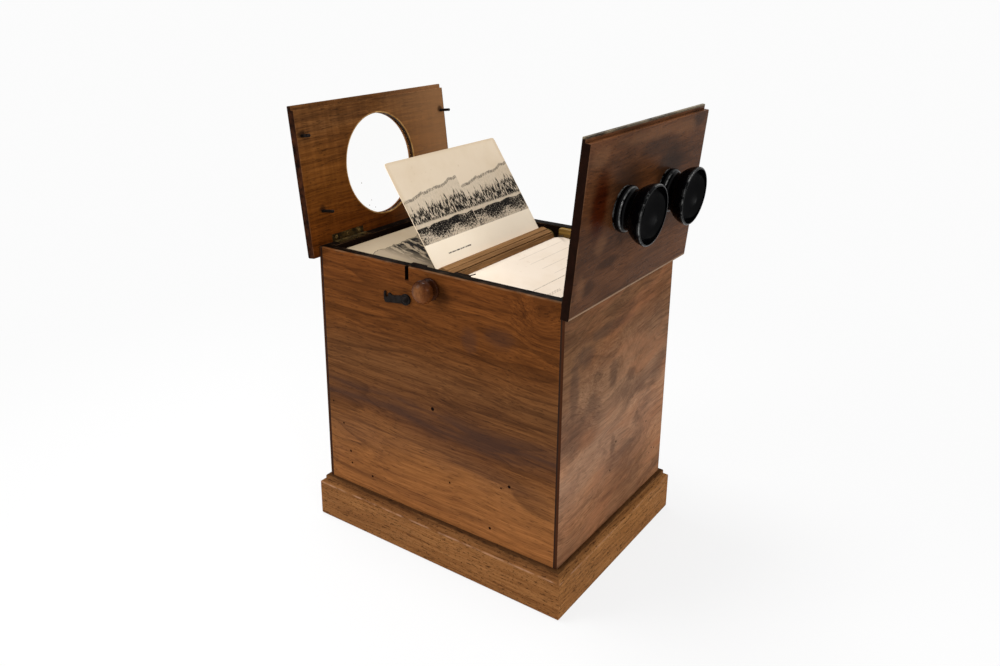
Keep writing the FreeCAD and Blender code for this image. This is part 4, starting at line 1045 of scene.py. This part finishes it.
def flat_card(name):
    """A grid on the ground, its foot on the X axis, with a map from 0 to 1 across it."""
    bpy.ops.object.select_all(action="DESELECT")
    bpy.ops.mesh.primitive_grid_add(x_subdivisions=COLUMNS, y_subdivisions=ROWS, size=1.0)
    card = bpy.context.object
    card.name = card.data.name = name
    card.data.uv_layers[0].name = "card_map"
    bpy.ops.object.mode_set(mode="EDIT")
    bpy.ops.mesh.select_all(action="SELECT")
    bpy.ops.transform.resize(value=(CARD_LONG, CARD_HIGH, 1.0))
    bpy.ops.transform.translate(value=(0, CARD_HIGH / 2, 0))
    for side in (-1, 1):
        for top in (0, 1):
            tip = Vector((side * CARD_LONG / 2, top * CARD_HIGH, 0))
            pick(card, lambda vert: (vert.co - tip).length < NIP)
            bpy.ops.transform.translate(value=(-side * NIP, (1 - 2 * top) * NIP, 0))
    bpy.ops.object.mode_set(mode="OBJECT")
    return card


print("a card has", ROWS * COLUMNS, "small squares")

# %% Bend it row by row
def bend(card, turns):
    """Turn all above each row, {row: degrees}. A plus leans the top to the picture side."""
    row_of = [round(vert.co.y / ROW) for vert in card.data.vertices]
    for row, degrees in sorted(turns.items()):
        bpy.ops.object.mode_set(mode="OBJECT")
        on_row = [vert.co for vert in card.data.vertices if row_of[vert.index] == row]
        centre = sum(on_row, Vector()) / len(on_row)
        pick(card, lambda vert: row_of[vert.index] > row)
        bpy.ops.transform.rotate(value=-math.radians(degrees), orient_axis="X",
                                 center_override=centre)
    bpy.ops.object.mode_set(mode="OBJECT")


print("a card bends at any of its", ROWS - 1, "rows")

# %% Carry it to its slat
WHEEL_CENTRE = Vector((0, 0, 0.2245))
CARD_FOOT, SLAT_STEP, FIRST_SLAT = 0.0072, 360 / 7, -33.3


def card(number, turns, front):
    """A card: flat, bent, given its two faces and carried to its slat."""
    name = f"postcard_{number}"
    made = flat_card(name)
    bend(made, turns)
    for face in (front, address_paper, edge_paper):
        made.data.materials.append(face)
    thick = made.modifiers.new("card_thickness", "SOLIDIFY")
    thick.thickness, thick.offset = CARD_THICK, 0
    thick.material_offset, thick.material_offset_rim = 1, 2
    only(made)
    bpy.ops.object.modifier_apply(modifier=thick.name)
    turn = Matrix.Rotation(math.radians((number - 1) * SLAT_STEP + FIRST_SLAT), 4, "Y")
    made.data.transform(Matrix.Translation(WHEEL_CENTRE) @ turn
                        @ Matrix.Translation((0, 0, CARD_FOOT)) @ STAND_UP)
    bpy.ops.object.shade_smooth_by_angle(angle=math.radians(30))
    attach(made, "card_wheel")
    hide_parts(name)
    heights = [vert.co.z / MM for vert in made.data.vertices]
    print(name, "stands between", round(min(heights), 1), "and", round(max(heights), 1), "mm")
    return made


# the card on the right is bent down near its foot, in five small steps
BENT_ROWS, BENT_BY = 5, 28.4
bent_down = {row: BENT_BY / BENT_ROWS for row in range(1, BENT_ROWS + 1)}
card(3, bent_down, mountain_paper)
for number in (4, 5, 6, 7):
    card(number, {}, mountain_paper if number % 2 else views_paper)
standing = card(1, {}, views_paper)

# %% [markdown]
# ## What gives way under a closing lid
#
# A card that stands up when the window lid comes down is pressed flat, and so are the two
# wire clips that hold it. The clips are copied from the drawing, because a mesh that came
# ready made is never changed, and the card and the copy are each given a mesh of their own.

# %% Copy the standing card's clips, and give the card and the copy their own meshes
only(nodes["standing_card_clips"])
bpy.ops.object.duplicate()
pressed_clips = bpy.context.object
pressed_clips.name = "pressed_clips"
bpy.ops.object.mode_set(mode="EDIT")
bpy.ops.mesh.select_all(action="SELECT")
bpy.ops.mesh.remove_doubles(threshold=1e-6)
bpy.ops.mesh.normals_make_consistent(inside=False)
bpy.ops.object.mode_set(mode="OBJECT")
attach(pressed_clips, "card_wheel")
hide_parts("standing_card_clips")
for soft in (standing, pressed_clips):
    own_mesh(soft)
print("the card and", len(pressed_clips.data.vertices), "clip points can be pressed")

# %% [markdown]
# ## Light and floor
#
# The photograph was taken in a white tent: a soft light above, a large one from the front
# left and a floor so pale that it melts into the background. A white world gives the even
# part and three round lamps give shape. The third is smaller, at the front right, and draws
# the sheen in the eyepieces. The floor turns white with distance, and keeps a faint shadow.

# %% Lamps
LAMP_AIM = Vector((0, 0, 0.15))
# each lamp: where it hangs, how wide it is and its power in watts
SOFTBOXES = {"overhead_softbox": ((-0.3, -0.1, 1.5), 0.6, 13),
             "front_left_softbox": ((-1.1, -1.2, 0.9), 0.8, 13),
             "front_right_softbox": ((1.3, -0.9, 0.9), 0.5, 7)}
for name, (place, wide, power) in SOFTBOXES.items():
    light = bpy.data.lights.new(name, "AREA")
    light.shape, light.size, light.energy = "DISK", wide, power
    lamp = bpy.data.objects.new(name, light)
    bpy.context.scene.collection.objects.link(lamp)
    lamp.location = place
    lamp.rotation_euler = (LAMP_AIM - Vector(place)).to_track_quat("-Z", "Y").to_euler()
print(len(SOFTBOXES), "lamps hang")

# %% World and floor
WHITE, FLOOR_GREY = (1, 1, 1, 1), (0.86, 0.86, 0.86, 1)
WORLD_LIGHT, PLAIN_WHITE = 0.62, 0.97
FADE, FADE_LEAST = (0.15, 0.75), 0.84


def seen_directly():
    """1 where a ray comes from the camera, or through or off a smooth surface."""
    path = add("LightPath").outputs
    return most(path["Is Camera Ray"], path["Is Glossy Ray"], path["Is Transmission Ray"])


world = bpy.data.worlds.new("white_tent")
bpy.context.scene.world = world
world.use_nodes = True
world.node_tree.nodes.clear()
workbench["tree"] = world.node_tree
strength = spread(seen_directly(), 0, 1, WORLD_LIGHT, PLAIN_WHITE)
sky_light = add("Background", {"Color": WHITE, "Strength": strength})
add("OutputWorld", {"Surface": sky_light.outputs[0]})

bpy.ops.object.select_all(action="DESELECT")
bpy.ops.mesh.primitive_plane_add(size=60)
floor = bpy.context.object
floor.name = "pale_floor"
floor_paint, matt = finish_with("pale_floor_paint", Roughness=0.9)
matt["Base Color"].default_value = FLOOR_GREY
# the two nodes that finish_with laid
shader, output = floor_paint.node_tree.nodes
glow = add("Emission", {"Color": WHITE, "Strength": PLAIN_WHITE})
share = spread(vector("LENGTH", own_place()), *FADE, FADE_LEAST, 1.0, soft=True)
share = times(share, seen_directly())
laid = add("MixShader", {0: share, 1: shader.outputs[0], 2: glow.outputs[0]})
wire(laid.outputs[0], output.inputs["Surface"])
floor.data.materials.append(floor_paint)
bpy.context.scene.view_settings.view_transform = "Standard"
print("the light is set")
